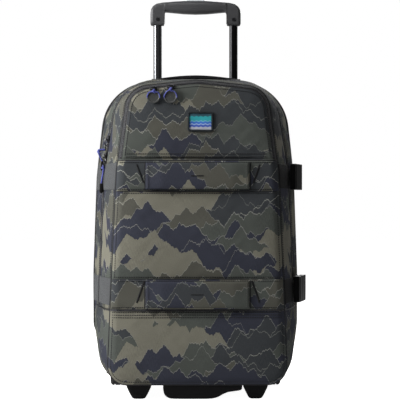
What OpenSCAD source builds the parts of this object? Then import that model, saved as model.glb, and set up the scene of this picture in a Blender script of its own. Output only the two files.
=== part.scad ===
// Rolling duffel bag: soft case with a swing-open front, telescopic handle and two wheels.
// Frame: millimetres, +Z up, the front faces -Y. The origin is on the floor, under the middle
// of the standing handle below the front edge.

/* [Case] */
// Half-width of the case at the rear seam
rear_half_w = 168; // [150:1:190]
// Height of the top of the case above the floor
case_top = 510; // [480:1:560]
// Front face of the case
front_y = -30; // [-50:1:-15]
// Rear face of the case
rear_y = 180; // [165:1:195]
// Height of the underside of the case
base_z = 24; // [18:1:34]
// Height of the cross zip above the lower compartment
split_z = 141; // [120:1:170]
// Plane of the main zip
zip_y = 70; // [50:1:90]
// Thickness of the padded fabric wall
wall = 3; // [2:0.5:5]

/* [Handle] */
// Distance from the centre to each handle tube
tube_x = 64; // [55:1:75]
// Depth position of the handle tubes
tube_y = 160; // [154:1:162]
// Height of the underside of the grip corners
grip_low_z = 607; // [560:1:640]
// Width of the thinnest handle tube
inner_tube_w = 14; // [12:0.5:16]
// Depth of the thinnest handle tube
inner_tube_d = 11; // [9:0.5:12]

/* [Wheels] */
// Radius of a wheel
wheel_r = 34; // [28:1:40]
// Width of a tyre
wheel_w = 24; // [18:1:28]
// Distance from the centre to the middle of a wheel
wheel_x = 131; // [120:1:134]
// Depth position of the axles
wheel_y = 170; // [160:1:174]

/* [Straps] */
// Width of the side webbing
web_w = 38; // [30:1:40]
// Height of the middle of the upper strap
upper_strap_z = 350.5; // [330:0.5:360]
// Height of the middle of the lower strap
lower_strap_z = 166; // [164:0.5:190]
// Length of each haul handle
haul_len = 162; // [140:1:180]
// Thickness of a padded haul handle
haul_t = 5; // [4:0.5:8]

/* [Hidden] */

// Numbers of facets: discs inside a hull, and exact rounds
hull_fn = 32;
round_fn = 64;

// Small working gaps
part_gap = 0.5;
touch_gap = 0.1;

// The case outline, as corner discs [x, z, radius] mirrored about the centre plane
front_discs = [[75, case_top - 58, 38], [109, 360, 20], [120, base_z + 20, 20]];
rear_discs = [[rear_half_w - 102, case_top - 98, 98], [rear_half_w - 20, 190, 20],
              [rear_half_w - 20, 105, 20], [97, base_z + 48, 48]];
// Softened front edge: how far the front face is drawn in, and how deep the edge is
edge_in = 8;
edge_y = front_y + 10;
// Where the side walls stop widening towards the rear
full_y = rear_y - 70;

// Pocket in the upper front
pocket_z = split_z + 236;
pocket_in = edge_in + 2;
pocket_depth = 15;

// Handle tubes, nested with clearance
tube_wall = 1.2;
mid_tube_w = inner_tube_w + 3.4;
mid_tube_d = inner_tube_d + 3.4;
fix_tube_w = inner_tube_w + 6.8;
fix_tube_d = inner_tube_d + 6.8;
back_board_y = tube_y - 18;
panel_t = 4;
rear_seam_y = rear_y - panel_t;

// Wheel housing block
cheek = 4;
house_in = wheel_x - wheel_w / 2 - 2 - cheek;
house_out = wheel_x + wheel_w / 2 + 2 + cheek;
house_y0 = wheel_y - wheel_r - 8;
house_y1 = rear_y + 4;
house_z1 = wheel_r * 2 + 7;
axle_r = 4;
run_gap = 0.05;

// Grip
grip_z = grip_low_z + 28.5;
grip_mid_r = 11.5;
grip_end_r = 5.5;
grip_half = tube_x - 12;
button_top = grip_z + 14.5;
bar_z0 = grip_z - 0.9;
bar_z1 = grip_z + 1.6;
pocket_floor = grip_z + 4.5;
button_low = grip_z + 8;
pin_z = 256;

// Buckle
buckle_turn = 15;
buckle_y = zip_y + 1;
buckle_t = 9;
buckle_h = 42;
plug_len = 30;
socket_len = 30;
prong_len = 19;

// A box from its two corners
module slab(lo, hi) {
  translate(lo) cube([hi[0] - lo[0], hi[1] - lo[1], hi[2] - lo[2]]);
}

// Every corner disc of one outline, drawn as a cylinder from y0 to y1
module discs(list, y0, y1, grow) {
  for (s = [-1, 1])
    for (d = list)
      translate([s * d[0], y1, d[1]])
        rotate([90, 0, 0])
          cylinder(r = d[2] + grow, h = y1 - y0, $fn = hull_fn);
}

// The solid volume of the case, grown by a distance
module envelope(grow) {
  hull() {
    discs(front_discs, front_y - grow, front_y - grow + 0.5, grow - edge_in);
    discs(front_discs, edge_y, edge_y + 0.5, grow);
    discs(rear_discs, full_y, rear_y, grow);
  }
}

// The padded wall of the whole case
module case_wall() {
  difference() {
    envelope(0);
    envelope(-wall);
  }
}

// A skin of one thickness lying on the outside of the case
module outer_skin(t) {
  difference() {
    envelope(t);
    envelope(0);
  }
}

// A flat ring round one outline
module outline_ring(list, y0, y1, t) {
  difference() {
    hull() discs(list, y0, y1, t);
    hull() discs(list, y0 - 1, y1 + 1, 0);
  }
}

// The space each wheel housing takes out of the case
module housing_space() {
  for (s = [-1, 1])
    slab([s > 0 ? house_in - part_gap : -200, house_y0 - part_gap, 0],
         [s > 0 ? 200 : -house_in + part_gap, 200, house_z1 + part_gap]);
}

// An upright bar with round ends in plan
module obround(w, d, z0, z1) {
  translate([0, 0, z0]) linear_extrude(z1 - z0) {
    square([w - d, d], center = true);
    for (s = [-1, 1])
      translate([s * (w - d) / 2, 0]) circle(d = d, $fn = round_fn);
  }
}

module tube(w, d, z0, z1) {
  difference() {
    obround(w, d, z0, z1);
    obround(w - 2 * tube_wall, d - 2 * tube_wall, z0 - 1, z1 + 1);
  }
}

module at_tubes() {
  for (s = [-1, 1])
    translate([s * tube_x, tube_y, 0]) children();
}

// ---- fixed case ----
module back_panel() {
  color("dimgray") difference() {
    hull() discs(rear_discs, rear_seam_y, rear_y, 0);
    housing_space();
  }
}

module rear_shell() {
  color("darkolivegreen") difference() {
    intersection() {
      case_wall();
      slab([-200, zip_y + part_gap, split_z], [200, rear_seam_y, 600]);
    }
    at_tubes() obround(mid_tube_w + 1.6, mid_tube_d + 1.6, 450, 600);
  }
}

module lower_shell() {
  color("darkolivegreen") difference() {
    intersection() {
      case_wall();
      slab([-200, -200, 0], [200, rear_seam_y, split_z]);
    }
    housing_space();
  }
}

module base_board() {
  color("black") difference() {
    intersection() {
      envelope(-wall - touch_gap);
      slab([-200, -200, 0], [200, rear_seam_y - touch_gap, base_z + wall + 3]);
    }
    housing_space();
  }
}

module back_board() {
  color("gray") difference() {
    intersection() {
      envelope(-wall - touch_gap);
      slab([-200, back_board_y, base_z + wall + 3 + touch_gap], [200, back_board_y + 2, 600]);
    }
    housing_space();
  }
}

module rear_piping() {
  color("black") difference() {
    outline_ring(rear_discs, rear_seam_y - 3, rear_seam_y, 2.2);
    envelope(0);
    slab([-200, 0, 0], [200, 200, house_z1 + part_gap]);
  }
}

module bag_zip_tape() {
  color("black") intersection() {
    difference() {
      envelope(-wall - touch_gap);
      envelope(-wall - 1);
    }
    slab([-200, zip_y + part_gap, split_z], [200, zip_y + 12, 600]);
  }
}

// The sewn side bands of the left wall between two depths
module side_bands(y0, y1) {
  intersection() {
    outer_skin(1.5);
    union() {
      slab([-200, y0, upper_strap_z - 21], [0, y1, upper_strap_z + 21]);
      slab([-200, y0, lower_strap_z - 16], [0, y1, lower_strap_z + 26]);
    }
  }
}

// The webbing of the right wall between two depths
module side_webs(y0, y1) {
  intersection() {
    outer_skin(2);
    for (z = [upper_strap_z, lower_strap_z])
      slab([0, y0, z - web_w / 2], [200, y1, z + web_w / 2]);
  }
}

module bag_bands() {
  color("dimgray") side_bands(zip_y + 5, rear_seam_y - 3.2);
}

module rear_straps() {
  color("black") side_webs(zip_y + 1, rear_seam_y - 3.2);
}

// Puts a buckle part on the right wall: local y runs along the wall towards the rear, x outwards
module at_buckle(z, x) {
  translate([x, buckle_y, z]) rotate([0, 0, -buckle_turn]) children();
}

upper_buckle_x = 158.3;
lower_buckle_x = 164.2;

module buckle_socket() {
  difference() {
    slab([0, 0, -buckle_h / 2], [buckle_t, socket_len, buckle_h / 2]);
    slab([1.5, -1, -buckle_h / 2 + 2.5], [buckle_t - 1.5, prong_len + 2, buckle_h / 2 - 2.5]);
    for (s = [-1, 1])
      translate([0, 0, s * (buckle_h / 2 - 2)])
        slab([2, 6, -4], [buckle_t - 2, prong_len - 1, 4]);
    slab([-1, socket_len - 6, -web_w / 2], [buckle_t + 1, socket_len - 3, web_w / 2]);
  }
}

module buckle_plug() {
  difference() {
    slab([0, -plug_len, -buckle_h / 2], [buckle_t, -part_gap, buckle_h / 2]);
    for (y = [4, 10])
      slab([-1, y - plug_len, -web_w / 2], [buckle_t + 1, y - plug_len + 3, web_w / 2]);
  }
  for (s = [-1, 1])
    slab([2.4, -part_gap, s * 13 - 3], [buckle_t - 2.4, prong_len, s * 13 + 3]);
  slab([3, -part_gap, -2], [buckle_t - 3, prong_len - 3, 2]);
}

module buckle_sockets() {
  color("black") {
    at_buckle(upper_strap_z, upper_buckle_x) buckle_socket();
    at_buckle(lower_strap_z + 3, lower_buckle_x) buckle_socket();
  }
}

module wheel_housing() {
  difference() {
    hull() {
      slab([house_in, house_y0, base_z], [house_out, house_y1, base_z + 26]);
      slab([house_in, house_y0, base_z + 40], [house_out - 14, house_y1, house_z1]);
      translate([house_out - 14, house_y1, house_z1 - 14])
        rotate([90, 0, 0]) cylinder(r = 14, h = house_y1 - house_y0, $fn = hull_fn);
    }
    translate([house_in + cheek, wheel_y, wheel_r])
      rotate([0, 90, 0])
        cylinder(r = wheel_r + 4, h = house_out - house_in - 2 * cheek, $fn = round_fn);
    slab([house_in + cheek, wheel_y, 0], [house_out - cheek, 200, wheel_r + 20]);
    translate([house_in + 1, wheel_y, wheel_r])
      rotate([0, 90, 0]) cylinder(r = axle_r + 0.02, h = 60, $fn = round_fn);
  }
}

module wheel_housing_left() {
  color("black") mirror([1, 0, 0]) wheel_housing();
}

module wheel_housing_right() {
  color("black") wheel_housing();
}

module axles() {
  color("silver") for (s = [-1, 1])
    translate([s * (house_in + 1.2), wheel_y, wheel_r]) rotate([0, s * 90, 0]) {
      cylinder(r = axle_r, h = house_out - house_in - 1.2, $fn = round_fn);
      translate([0, 0, house_out - house_in - 1.2]) cylinder(r = 7, h = 2.4, $fn = round_fn);
    }
}

foot_x = 92;
foot_y0 = -10;
foot_len = 20;

module front_feet() {
  color("black") for (s = [-1, 1])
    difference() {
      translate([s * foot_x, foot_y0 + foot_len, 0])
        rotate([90, 0, 0])
          linear_extrude(foot_len)
            polygon([[-13, 0], [13, 0], [20.5, base_z], [-20.5, base_z]]);
      translate([s * foot_x, foot_y0 + foot_len / 2, -1]) cylinder(r = 3.6, h = 11, $fn = round_fn);
      translate([s * foot_x, foot_y0 + foot_len / 2, 0]) cylinder(r = 1.6, h = 12.8, $fn = round_fn);
    }
}

skid_half = 15;

module base_handle() {
  color("black") difference() {
    translate([0, skid_half, 0])
      rotate([90, 0, 0])
        linear_extrude(2 * skid_half)
          polygon([[-54, base_z], [-54, 14], [-45, 3], [-33, 0], [32, 0], [45, 8], [54, 14],
                   [70, 16], [71, base_z]]);
    slab([-40, 4 - skid_half, 7], [40, skid_half + 5, base_z - 4]);
  }
}

bezel_half = tube_x + 18;

module handle_bezel() {
  color("black") difference() {
    slab([-bezel_half, tube_y - 14, case_top], [bezel_half, tube_y + 12, case_top + 3]);
    at_tubes() obround(mid_tube_w + 1.2, mid_tube_d + 1.2, case_top - 1, case_top + 4);
    for (s = [-1, 1])
      translate([s * (bezel_half - 4), tube_y, case_top + 0.4]) cylinder(r = 1.6, h = 5, $fn = round_fn);
  }
}

// One short screw, its head resting on z = 0 and its shank pointing down
module short_screw() {
  cylinder(r = 3, h = 1.6, $fn = round_fn);
  translate([0, 0, -2.5]) cylinder(r = 1.5, h = 2.6, $fn = round_fn);
}

module body_screws() {
  color("silver") for (s = [-1, 1]) {
    translate([s * (bezel_half - 4), tube_y, case_top + 3]) short_screw();
    translate([s * foot_x, foot_y0 + foot_len / 2, 10]) rotate([180, 0, 0]) short_screw();
  }
}

tube_base_z0 = base_z + wall + 3 + touch_gap;
tube_base_z1 = tube_base_z0 + 15;

module tube_base() {
  color("black")
    slab([-tube_x - 16, tube_y - 12, tube_base_z0], [tube_x + 16, tube_y + 12, tube_base_z1]);
}

module fixed_tubes() {
  color("silver") at_tubes() tube(fix_tube_w, fix_tube_d, tube_base_z1, case_top - 7);
}

top_handle_half = 56;
top_handle_y0 = full_y + 4;
top_handle_y1 = full_y + 30;

module top_handle_anchors() {
  color("black") for (s = [-1, 1])
    translate([s * (top_handle_half + 7.5), 0, 0])
      slab([-7, top_handle_y0, case_top], [7, top_handle_y1, case_top + 2]);
}

// ---- swinging front ----
module lid_shell() {
  color("olivedrab") difference() {
    intersection() {
      case_wall();
      slab([-200, -200, split_z + part_gap], [200, zip_y - part_gap, 600]);
    }
    intersection() {
      hull() discs(front_discs, front_y - 1, edge_y, -pocket_in);
      slab([-200, -200, pocket_z], [200, 0, 600]);
    }
  }
}

module front_piping() {
  color("black") intersection() {
    outline_ring(front_discs, edge_y - 3, edge_y, 1.6);
    slab([-200, -200, split_z + part_gap], [200, 0, 600]);
  }
}

module pocket_lining() {
  color("gray") intersection() {
    envelope(-wall - touch_gap);
    union() {
      slab([-200, front_y + pocket_depth, pocket_z - 2], [200, front_y + pocket_depth + 1.5, 600]);
      slab([-200, front_y, pocket_z - 2], [200, front_y + pocket_depth + 1, pocket_z - 0.5]);
    }
  }
}

// The sewn fabric band under a haul handle
module front_band(z0, z1) {
  color("darkolivegreen") intersection() {
    outer_skin(1.5);
    slab([-200, -200, z0], [200, edge_y - 3.2, z1]);
  }
}

module upper_band() {
  front_band(upper_strap_z - 23.5, upper_strap_z + 23.5);
}

module lower_band() {
  front_band(lower_strap_z - 24, lower_strap_z + 23);
}

module lid_bands() {
  color("dimgray") side_bands(edge_y + 0.4, zip_y - 5);
}

module lid_zip_tape() {
  color("black") intersection() {
    difference() {
      envelope(-wall - touch_gap);
      envelope(-wall - 1);
    }
    slab([-200, zip_y - 12, split_z + part_gap], [200, zip_y - part_gap, 600]);
  }
}

module front_straps() {
  color("black") side_webs(edge_y + 0.4, zip_y - 1);
}

module upper_buckle_plug() {
  color("black") at_buckle(upper_strap_z, upper_buckle_x) buckle_plug();
}

module lower_buckle_plug() {
  color("black") at_buckle(lower_strap_z + 3, lower_buckle_x) buckle_plug();
}

module haul_handle(z) {
  color("darkolivegreen")
    slab([-haul_len / 2, front_y - 2 - haul_t, z - 21.5], [haul_len / 2, front_y - 2, z + 21.5]);
}

module upper_haul_handle() {
  haul_handle(upper_strap_z);
}

module lower_haul_handle() {
  haul_handle(lower_strap_z - 0.5);
}

// ---- front pocket ----
module pocket_flap() {
  color("olivedrab") intersection() {
    hull() discs(front_discs, front_y, front_y + wall, -pocket_in - 0.6);
    slab([-200, -200, pocket_z + 1], [200, 0, 600]);
  }
}

module label_patch() {
  color("teal") slab([-14, front_y - 1.5, 421], [23, front_y, 449]);
}

pocket_slider_y = front_y - 0.4;
pull_ring_r = 11;
pull_cord_r = 1.5;
pull_y = front_y - 7;

module pocket_slider(x) {
  color("dimgray") {
    slab([x - 4, pocket_slider_y - 3, case_top - 30], [x + 4, pocket_slider_y, case_top - 18]);
    slab([x - 1.5, pocket_slider_y - 4.6, case_top - 27], [x + 1.5, pocket_slider_y - 3, case_top - 20]);
  }
}

// A cord loop with its top at the slider
module pull_loop(x, z_top) {
  color("blue") translate([x, pull_y, z_top - pull_ring_r]) rotate([90, 0, 0])
    rotate_extrude($fn = round_fn) translate([pull_ring_r, 0]) circle(r = pull_cord_r, $fn = 24);
}

left_pull_x = -68.5;
right_pull_x = -42;

module pocket_slider_left() {
  pocket_slider(left_pull_x);
}

module pocket_pull_left() {
  pull_loop(left_pull_x, case_top - 23);
}

module pocket_slider_right() {
  pocket_slider(right_pull_x);
}

module pocket_pull_right() {
  pull_loop(right_pull_x, case_top - 23);
}

// ---- main zip ----
arc_x = rear_discs[0][0];
arc_z = case_top - 91;
arc_r = 87;
main_slider_y0 = zip_y - 10;
main_slider_y1 = zip_y - 0.6;
lower_slider_z = case_top - 125;
lower_slider_x = -154.1;

module main_slider_upper() {
  color("dimgray") translate([-arc_x, 0, arc_z]) rotate([0, -4.5, 0])
    slab([-arc_r - 4.5, main_slider_y0, -7], [-arc_r, main_slider_y1, 7]);
}

module main_slider_lower() {
  color("dimgray")
    slab([lower_slider_x - 4.5, main_slider_y0, lower_slider_z - 7],
         [lower_slider_x, main_slider_y1, lower_slider_z + 7]);
}

// A hanging cord with a moulded end
module hanging_pull(x, y, z_top, len) {
  color("blue") translate([x, y, z_top - len]) {
    cylinder(r = 1.4, h = len, $fn = round_fn);
    cylinder(r = 2, h = 14, $fn = round_fn);
  }
}

upper_pull_x = -161.6;
lower_pull_x = -160.4;

module main_pull_upper() {
  hanging_pull(upper_pull_x, zip_y - 2.8, case_top - 102, 48);
}

module main_pull_lower() {
  hanging_pull(lower_pull_x, zip_y - 8.2, case_top - 128, 58);
}

module top_grab_handle() {
  color("black")
    slab([-top_handle_half, top_handle_y0, case_top + 0.4],
         [top_handle_half, top_handle_y1, case_top + 6]);
}

// ---- telescopic handle ----
module middle_tubes() {
  color("silver") at_tubes() tube(mid_tube_w, mid_tube_d, 75, case_top - 5);
}

module inner_tubes() {
  color("silver") for (s = [-1, 1])
    difference() {
      translate([s * tube_x, tube_y, 0]) tube(inner_tube_w, inner_tube_d, 250, grip_low_z + 17);
      translate([s * tube_x, tube_y, pin_z])
        rotate([0, s * 90, 0]) cylinder(r = 2.6, h = 20, $fn = round_fn);
    }
}

module grip_sockets() {
  color("black") for (s = [-1, 1])
    difference() {
      hull() {
        translate([s * tube_x, tube_y + 9, grip_low_z + 22])
          rotate([90, 0, 0]) cylinder(r = 12, h = 18, $fn = hull_fn);
        slab([s * tube_x - 12, tube_y - 9, grip_low_z], [s * tube_x + 12, tube_y + 9, grip_low_z + 2]);
      }
      translate([s * tube_x, tube_y, 0])
        obround(inner_tube_w + 0.2, inner_tube_d + 0.2, grip_low_z - 1, grip_low_z + 17.1);
      translate([s * tube_x, tube_y, grip_low_z]) cylinder(r = 2.5, h = 26, $fn = round_fn);
      slab([s > 0 ? grip_half - 1 : -tube_x - 3, tube_y - 2.6, bar_z0 - 2.3],
           [s > 0 ? tube_x + 3 : -grip_half + 1, tube_y + 2.6, bar_z1 + 0.3]);
      translate([s * tube_x, tube_y - 8, grip_low_z + 10])
        rotate([90, 0, 0]) cylinder(r = 1.6, h = 5, $fn = round_fn);
    }
}

module grip_bar() {
  color("black") difference() {
    hull() for (y = [-3, 3]) {
      translate([-15, tube_y + y, grip_z])
        rotate([0, 90, 0]) cylinder(r = grip_mid_r, h = 30, $fn = hull_fn);
      translate([-grip_half, tube_y + y, grip_z])
        rotate([0, 90, 0]) cylinder(r = grip_end_r, h = 2 * grip_half, $fn = hull_fn);
    }
    slab([-60, tube_y - 2.6, bar_z0 - 2.3], [60, tube_y + 2.6, bar_z1 + 0.3]);
    slab([-15.4, tube_y - 5.4, pocket_floor], [15.4, tube_y + 5.4, grip_z + 20]);
    slab([-3.3, tube_y - 2.3, bar_z1], [3.3, tube_y + 2.3, pocket_floor + 1]);
  }
}

module grip_screws() {
  color("silver") for (s = [-1, 1])
    translate([s * tube_x, tube_y - 9, grip_low_z + 10]) rotate([90, 0, 0]) {
      cylinder(r = 3, h = 1, $fn = round_fn);
      translate([0, 0, -0.9]) cylinder(r = 1.5, h = 1, $fn = round_fn);
    }
}

module tube_plugs() {
  color("black") for (s = [-1, 1])
    difference() {
      translate([s * tube_x, tube_y, 0])
        obround(inner_tube_w - 2 * tube_wall - 0.2, inner_tube_d - 2 * tube_wall - 0.2,
                pin_z - 6, pin_z + 10);
      translate([s * (tube_x - 3.5), tube_y, pin_z])
        rotate([0, s * 90, 0]) cylinder(r = 2.5 + run_gap, h = 20, $fn = round_fn);
    }
}

module grip_button() {
  color("lightgray") slab([-15, tube_y - 5, button_low], [15, tube_y + 5, button_top]);
}

module push_bar() {
  color("silver") {
    slab([-tube_x - 2.4, tube_y - 2, bar_z0], [tube_x + 2.4, tube_y + 2, bar_z1]);
    slab([-3, tube_y - 2, bar_z0], [3, tube_y + 2, button_low]);
    for (s = [-1, 1])
      translate([s * tube_x, tube_y, pin_z + 12.5])
        cylinder(r = 2, h = bar_z0 - pin_z - 12, $fn = round_fn);
  }
}

module button_springs() {
  color("silver") for (s = [-1, 1])
    translate([s * 9, tube_y, pocket_floor])
      rotate_extrude($fn = round_fn)
        polygon([[2, 0], [3, 0], [3.6, 0.9], [3, 1.75], [3.6, 2.6], [3, 3.5], [2, 3.5],
                 [2.6, 2.6], [2, 1.75], [2.6, 0.9]]);
}

module lock_pin(s) {
  color("silver") translate([s * (tube_x - 0.5), tube_y, pin_z])
    rotate([0, s * 90, 0]) cylinder(r = 2.5, h = inner_tube_w / 2 + 0.5, $fn = round_fn);
}

module lock_pin_left() {
  lock_pin(-1);
}

module lock_pin_right() {
  lock_pin(1);
}

// ---- wheels ----
module at_wheel(s) {
  translate([s * wheel_x, wheel_y, wheel_r]) rotate([0, 90, 0]) children();
}

rim_r = wheel_r - 7;
bearing_r = 11;

module tyre(s) {
  h = wheel_w / 2;
  color("dimgray") at_wheel(s) rotate_extrude($fn = round_fn)
    polygon([[rim_r, -h + 1], [wheel_r - 3, -h], [wheel_r, -h + 3], [wheel_r, h - 3],
             [wheel_r - 3, h], [rim_r, h - 1]]);
}

module hub(s) {
  color("gray") at_wheel(s) rotate_extrude($fn = round_fn)
    polygon([[bearing_r, 11], [14, 11], [14, 4], [20, 4], [20, 10], [rim_r, 10], [rim_r, -10],
             [20, -10], [20, -4], [14, -4], [14, -11], [bearing_r, -11], [bearing_r, -4], [9, -4],
             [9, 4], [bearing_r, 4]]);
}

module bearings(s) {
  color("silver") at_wheel(s) for (z = [-11, 4])
    translate([0, 0, z]) difference() {
      cylinder(r = bearing_r - 0.02, h = 7, $fn = round_fn);
      translate([0, 0, -1]) cylinder(r = axle_r + run_gap, h = 9, $fn = round_fn);
    }
}

module tyre_left() {
  tyre(-1);
}

module hub_left() {
  hub(-1);
}

module bearings_left() {
  bearings(-1);
}

module tyre_right() {
  tyre(1);
}

module hub_right() {
  hub(1);
}

module bearings_right() {
  bearings(1);
}

back_panel();
rear_shell();
lower_shell();
base_board();
back_board();
rear_piping();
bag_zip_tape();
bag_bands();
rear_straps();
buckle_sockets();
wheel_housing_left();
wheel_housing_right();
axles();
front_feet();
base_handle();
handle_bezel();
body_screws();
fixed_tubes();
tube_base();
top_handle_anchors();
lid_shell();
front_piping();
pocket_lining();
upper_band();
lower_band();
lid_bands();
lid_zip_tape();
front_straps();
upper_buckle_plug();
lower_buckle_plug();
upper_haul_handle();
lower_haul_handle();
pocket_flap();
label_patch();
pocket_slider_left();
pocket_pull_left();
pocket_slider_right();
pocket_pull_right();
main_slider_upper();
main_pull_upper();
main_slider_lower();
main_pull_lower();
top_grab_handle();
middle_tubes();
inner_tubes();
grip_sockets();
grip_bar();
grip_screws();
tube_plugs();
grip_button();
push_bar();
button_springs();
lock_pin_left();
lock_pin_right();
tyre_left();
hub_left();
bearings_left();
tyre_right();
hub_right();
bearings_right();
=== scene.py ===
"""The looks of a rolling duffel bag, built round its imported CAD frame.

Lengths are millimetres until a mesh is made; materials and the studio are in metres.
"""
import math
import random

import bmesh
import bpy
import numpy as np
from mathutils import Matrix, Vector


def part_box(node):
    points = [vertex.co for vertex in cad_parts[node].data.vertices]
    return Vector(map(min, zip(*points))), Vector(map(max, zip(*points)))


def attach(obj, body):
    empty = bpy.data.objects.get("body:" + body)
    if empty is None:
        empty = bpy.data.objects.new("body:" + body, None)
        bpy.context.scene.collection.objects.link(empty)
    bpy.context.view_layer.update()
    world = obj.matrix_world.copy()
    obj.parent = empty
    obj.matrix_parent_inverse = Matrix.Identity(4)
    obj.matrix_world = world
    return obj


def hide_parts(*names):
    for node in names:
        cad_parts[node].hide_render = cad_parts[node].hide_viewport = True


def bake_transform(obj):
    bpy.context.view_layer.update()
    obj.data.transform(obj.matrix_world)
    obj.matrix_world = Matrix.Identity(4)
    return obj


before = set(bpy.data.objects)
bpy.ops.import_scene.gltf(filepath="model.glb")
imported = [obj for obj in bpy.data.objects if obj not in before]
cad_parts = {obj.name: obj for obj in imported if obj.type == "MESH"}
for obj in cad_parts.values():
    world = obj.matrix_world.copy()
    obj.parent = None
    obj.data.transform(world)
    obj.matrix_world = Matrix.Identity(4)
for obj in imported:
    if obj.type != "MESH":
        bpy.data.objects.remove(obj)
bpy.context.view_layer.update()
MM = 0.001
FORWARD = (0, -1, 0)
BACKWARD = (0, 1, 0)


# ---- sizes, from the frame ----
def span(node):
    """A CAD node's lowest and highest corner."""
    low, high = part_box(node)
    return np.array(low) / MM, np.array(high) / MM


def levels(node):
    """A CAD node's lowest and highest level."""
    return [corner[2] for corner in span(node)]


LOWER_LOW, LOWER_HIGH = span("lower_shell")
BACK_HIGH = span("back_panel")[1]
SOCKETS_LOW, SOCKETS_HIGH = span("grip_sockets")
TYRE_LOW, TYRE_HIGH = span("tyre_right")
HOUSE_LOW, HOUSE_HIGH = span("wheel_housing_right")
BEZEL_LOW, BEZEL_HIGH = span("handle_bezel")
TOP_LOW, TOP_HIGH = span("top_grab_handle")
HAUL_HIGH = span("upper_haul_handle")[1]
GAP = 0.5
FRONT_Y = LOWER_LOW[1]
REAR_SEAM_Y = LOWER_HIGH[1]
REAR_Y = BACK_HIGH[1]
HALF_W = BACK_HIGH[0]
TOP_Z = BACK_HIGH[2]
BASE_Z = LOWER_LOW[2]
SPLIT_Z = LOWER_HIGH[2]
ZIP_Y = span("lid_shell")[1][1] + GAP
EDGE_DEPTH = 10
EDGE_Y = FRONT_Y + EDGE_DEPTH
FULL_Y = REAR_Y - 70
POCKET_Z = levels("pocket_flap")[0] - GAP
UPPER_BAND = levels("upper_band")
LOWER_BAND = levels("lower_band")
UPPER_HAUL = levels("upper_haul_handle")
LOWER_HAUL = levels("lower_haul_handle")
HAUL_HALF = HAUL_HIGH[0]
HAUL_BACK = HAUL_HIGH[1]
TUBE_X = (SOCKETS_HIGH[0] + span("grip_bar")[1][0]) / 2
TUBE_Y = sum(corner[1] for corner in span("inner_tubes")) / 2
GRIP_Z = sum(levels("grip_bar")) / 2
WHEEL_R = TYRE_HIGH[2] / 2
WHEEL_X = (TYRE_LOW[0] + TYRE_HIGH[0]) / 2
WHEEL_Y = (TYRE_LOW[1] + TYRE_HIGH[1]) / 2
WHEEL_HALF = (TYRE_HIGH[0] - TYRE_LOW[0]) / 2
UPPER_WEB_Z = sum(UPPER_BAND) / 2
LOWER_WEB_Z = sum(LOWER_BAND) / 2 + 3.5
WEB_HALF = 19
LID_SHEET = (EDGE_Y, ZIP_Y - GAP)
BAG_SHEET = (ZIP_Y + GAP, REAR_SEAM_Y)
PANEL_T = 2.4
FLAP_IN = 5.5
HOUSE_ROUND = 14
HOUSE_LAP = 2.0

# The case's outline at the front seam, at the rear and at its widest: corner discs (x, z, radius), mirrored
FRONT_DISCS = [(0, TOP_Z - 81, 71), (75, TOP_Z - 56, 38), (106, 360, 20), (110, BASE_Z + 30, 30)]
SIDE_DISCS = [(HALF_W - 24, 350, 20), (HALF_W - 18.5, 190, 20), (HALF_W - 18.5, 105, 20)]
REAR_DISCS = [(75, TOP_Z - 80, 80)] + SIDE_DISCS + [(100, BASE_Z + 48, 48)]
FULL_DISCS = [(64, TOP_Z - 82, 82)] + [(x - 4.5, z, r) for x, z, r in SIDE_DISCS] + [(124, BASE_Z + 34, 34)]
MID_Z = (TOP_Z + BASE_Z) / 2
CENTRE = np.array([0, MID_Z])
TURN = np.linspace(0, 2 * math.pi, 720, endpoint=False)
NX, NZ = np.cos(TURN), np.sin(TURN)
AWAY = np.cos(TURN[:, None] - TURN[None, :])


# ---- the case's shape ----
def reach(discs):
    """How far an outline reaches from its centre in every direction."""
    return np.max([s * x * NX + (z - MID_Z) * NZ + r for x, z, r in discs for s in (1, -1)], axis=0)


FRONT_REACH = reach(FRONT_DISCS)
FULL_REACH = reach(FULL_DISCS)
REAR_REACH = reach(REAR_DISCS)


def rays(y, grow=0.0):
    """The outline's distance from the centre along every ray, at depth y."""
    share = min(max((y - EDGE_Y) / (FULL_Y - EDGE_Y), 0), 1)
    back = min(max((y - FULL_Y) / (REAR_SEAM_Y - FULL_Y), 0), 1)
    wide = (1 - back) * FULL_REACH + back * REAR_REACH
    far = (1 - share) * FRONT_REACH + share * wide + grow
    return np.min(np.where(AWAY > 0.05, far[None, :] / np.maximum(AWAY, 0.05), 1e9), axis=1)


def side_x(y, z, grow=0.0):
    """Half-width of the case at depth y and height z."""
    r = rays(y, grow)
    right = np.cos(TURN) > 0
    order = np.argsort((r * NZ)[right])
    return np.interp(z, (MID_Z + r * NZ)[right][order], (r * NX)[right][order])


def path_lengths(path):
    """Distance along a line of points, at each point."""
    steps = np.linalg.norm(np.diff(path, axis=0), axis=1)
    return np.concatenate([[0], np.cumsum(steps)])


def along_path(path, at):
    """Points of a line at distances along it."""
    along = path_lengths(path)
    return np.stack([np.interp(at, along, path[:, k]) for k in range(path.shape[1])], axis=1)


def resample(path, count):
    """Evenly spaced points along a line: so many of them, or at given shares of its length."""
    path = np.array(path, float)
    length = path_lengths(path)[-1]
    at = np.linspace(0, length, count) if np.isscalar(count) else np.array(count) * length
    return along_path(path, at)


def outline_path(y, z_cut, over_top, count, grow=0.0):
    """The outline at depth y from the left side at z_cut to the right one, over the top or under the base."""
    half = side_x(y, z_cut, grow)
    right = math.atan2(z_cut - MID_Z, half)
    stop = right if over_top else 2 * math.pi + right
    angles = np.linspace(math.pi - right, stop, 500)
    r = np.interp(angles % (2 * math.pi), TURN, rays(y, grow), period=2 * math.pi)
    path = np.stack([r * np.cos(angles), MID_Z + r * np.sin(angles)], axis=1)
    path[0] = (-half, z_cut)
    path[-1] = (half, z_cut)
    return resample(path, count)


def inner_edge(z_cut, distance, count=160):
    """The front outline drawn in by a distance, from the left at z_cut over the top to the right."""
    return resample(outline_path(EDGE_Y, z_cut, True, 400, grow=-distance), count)


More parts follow.
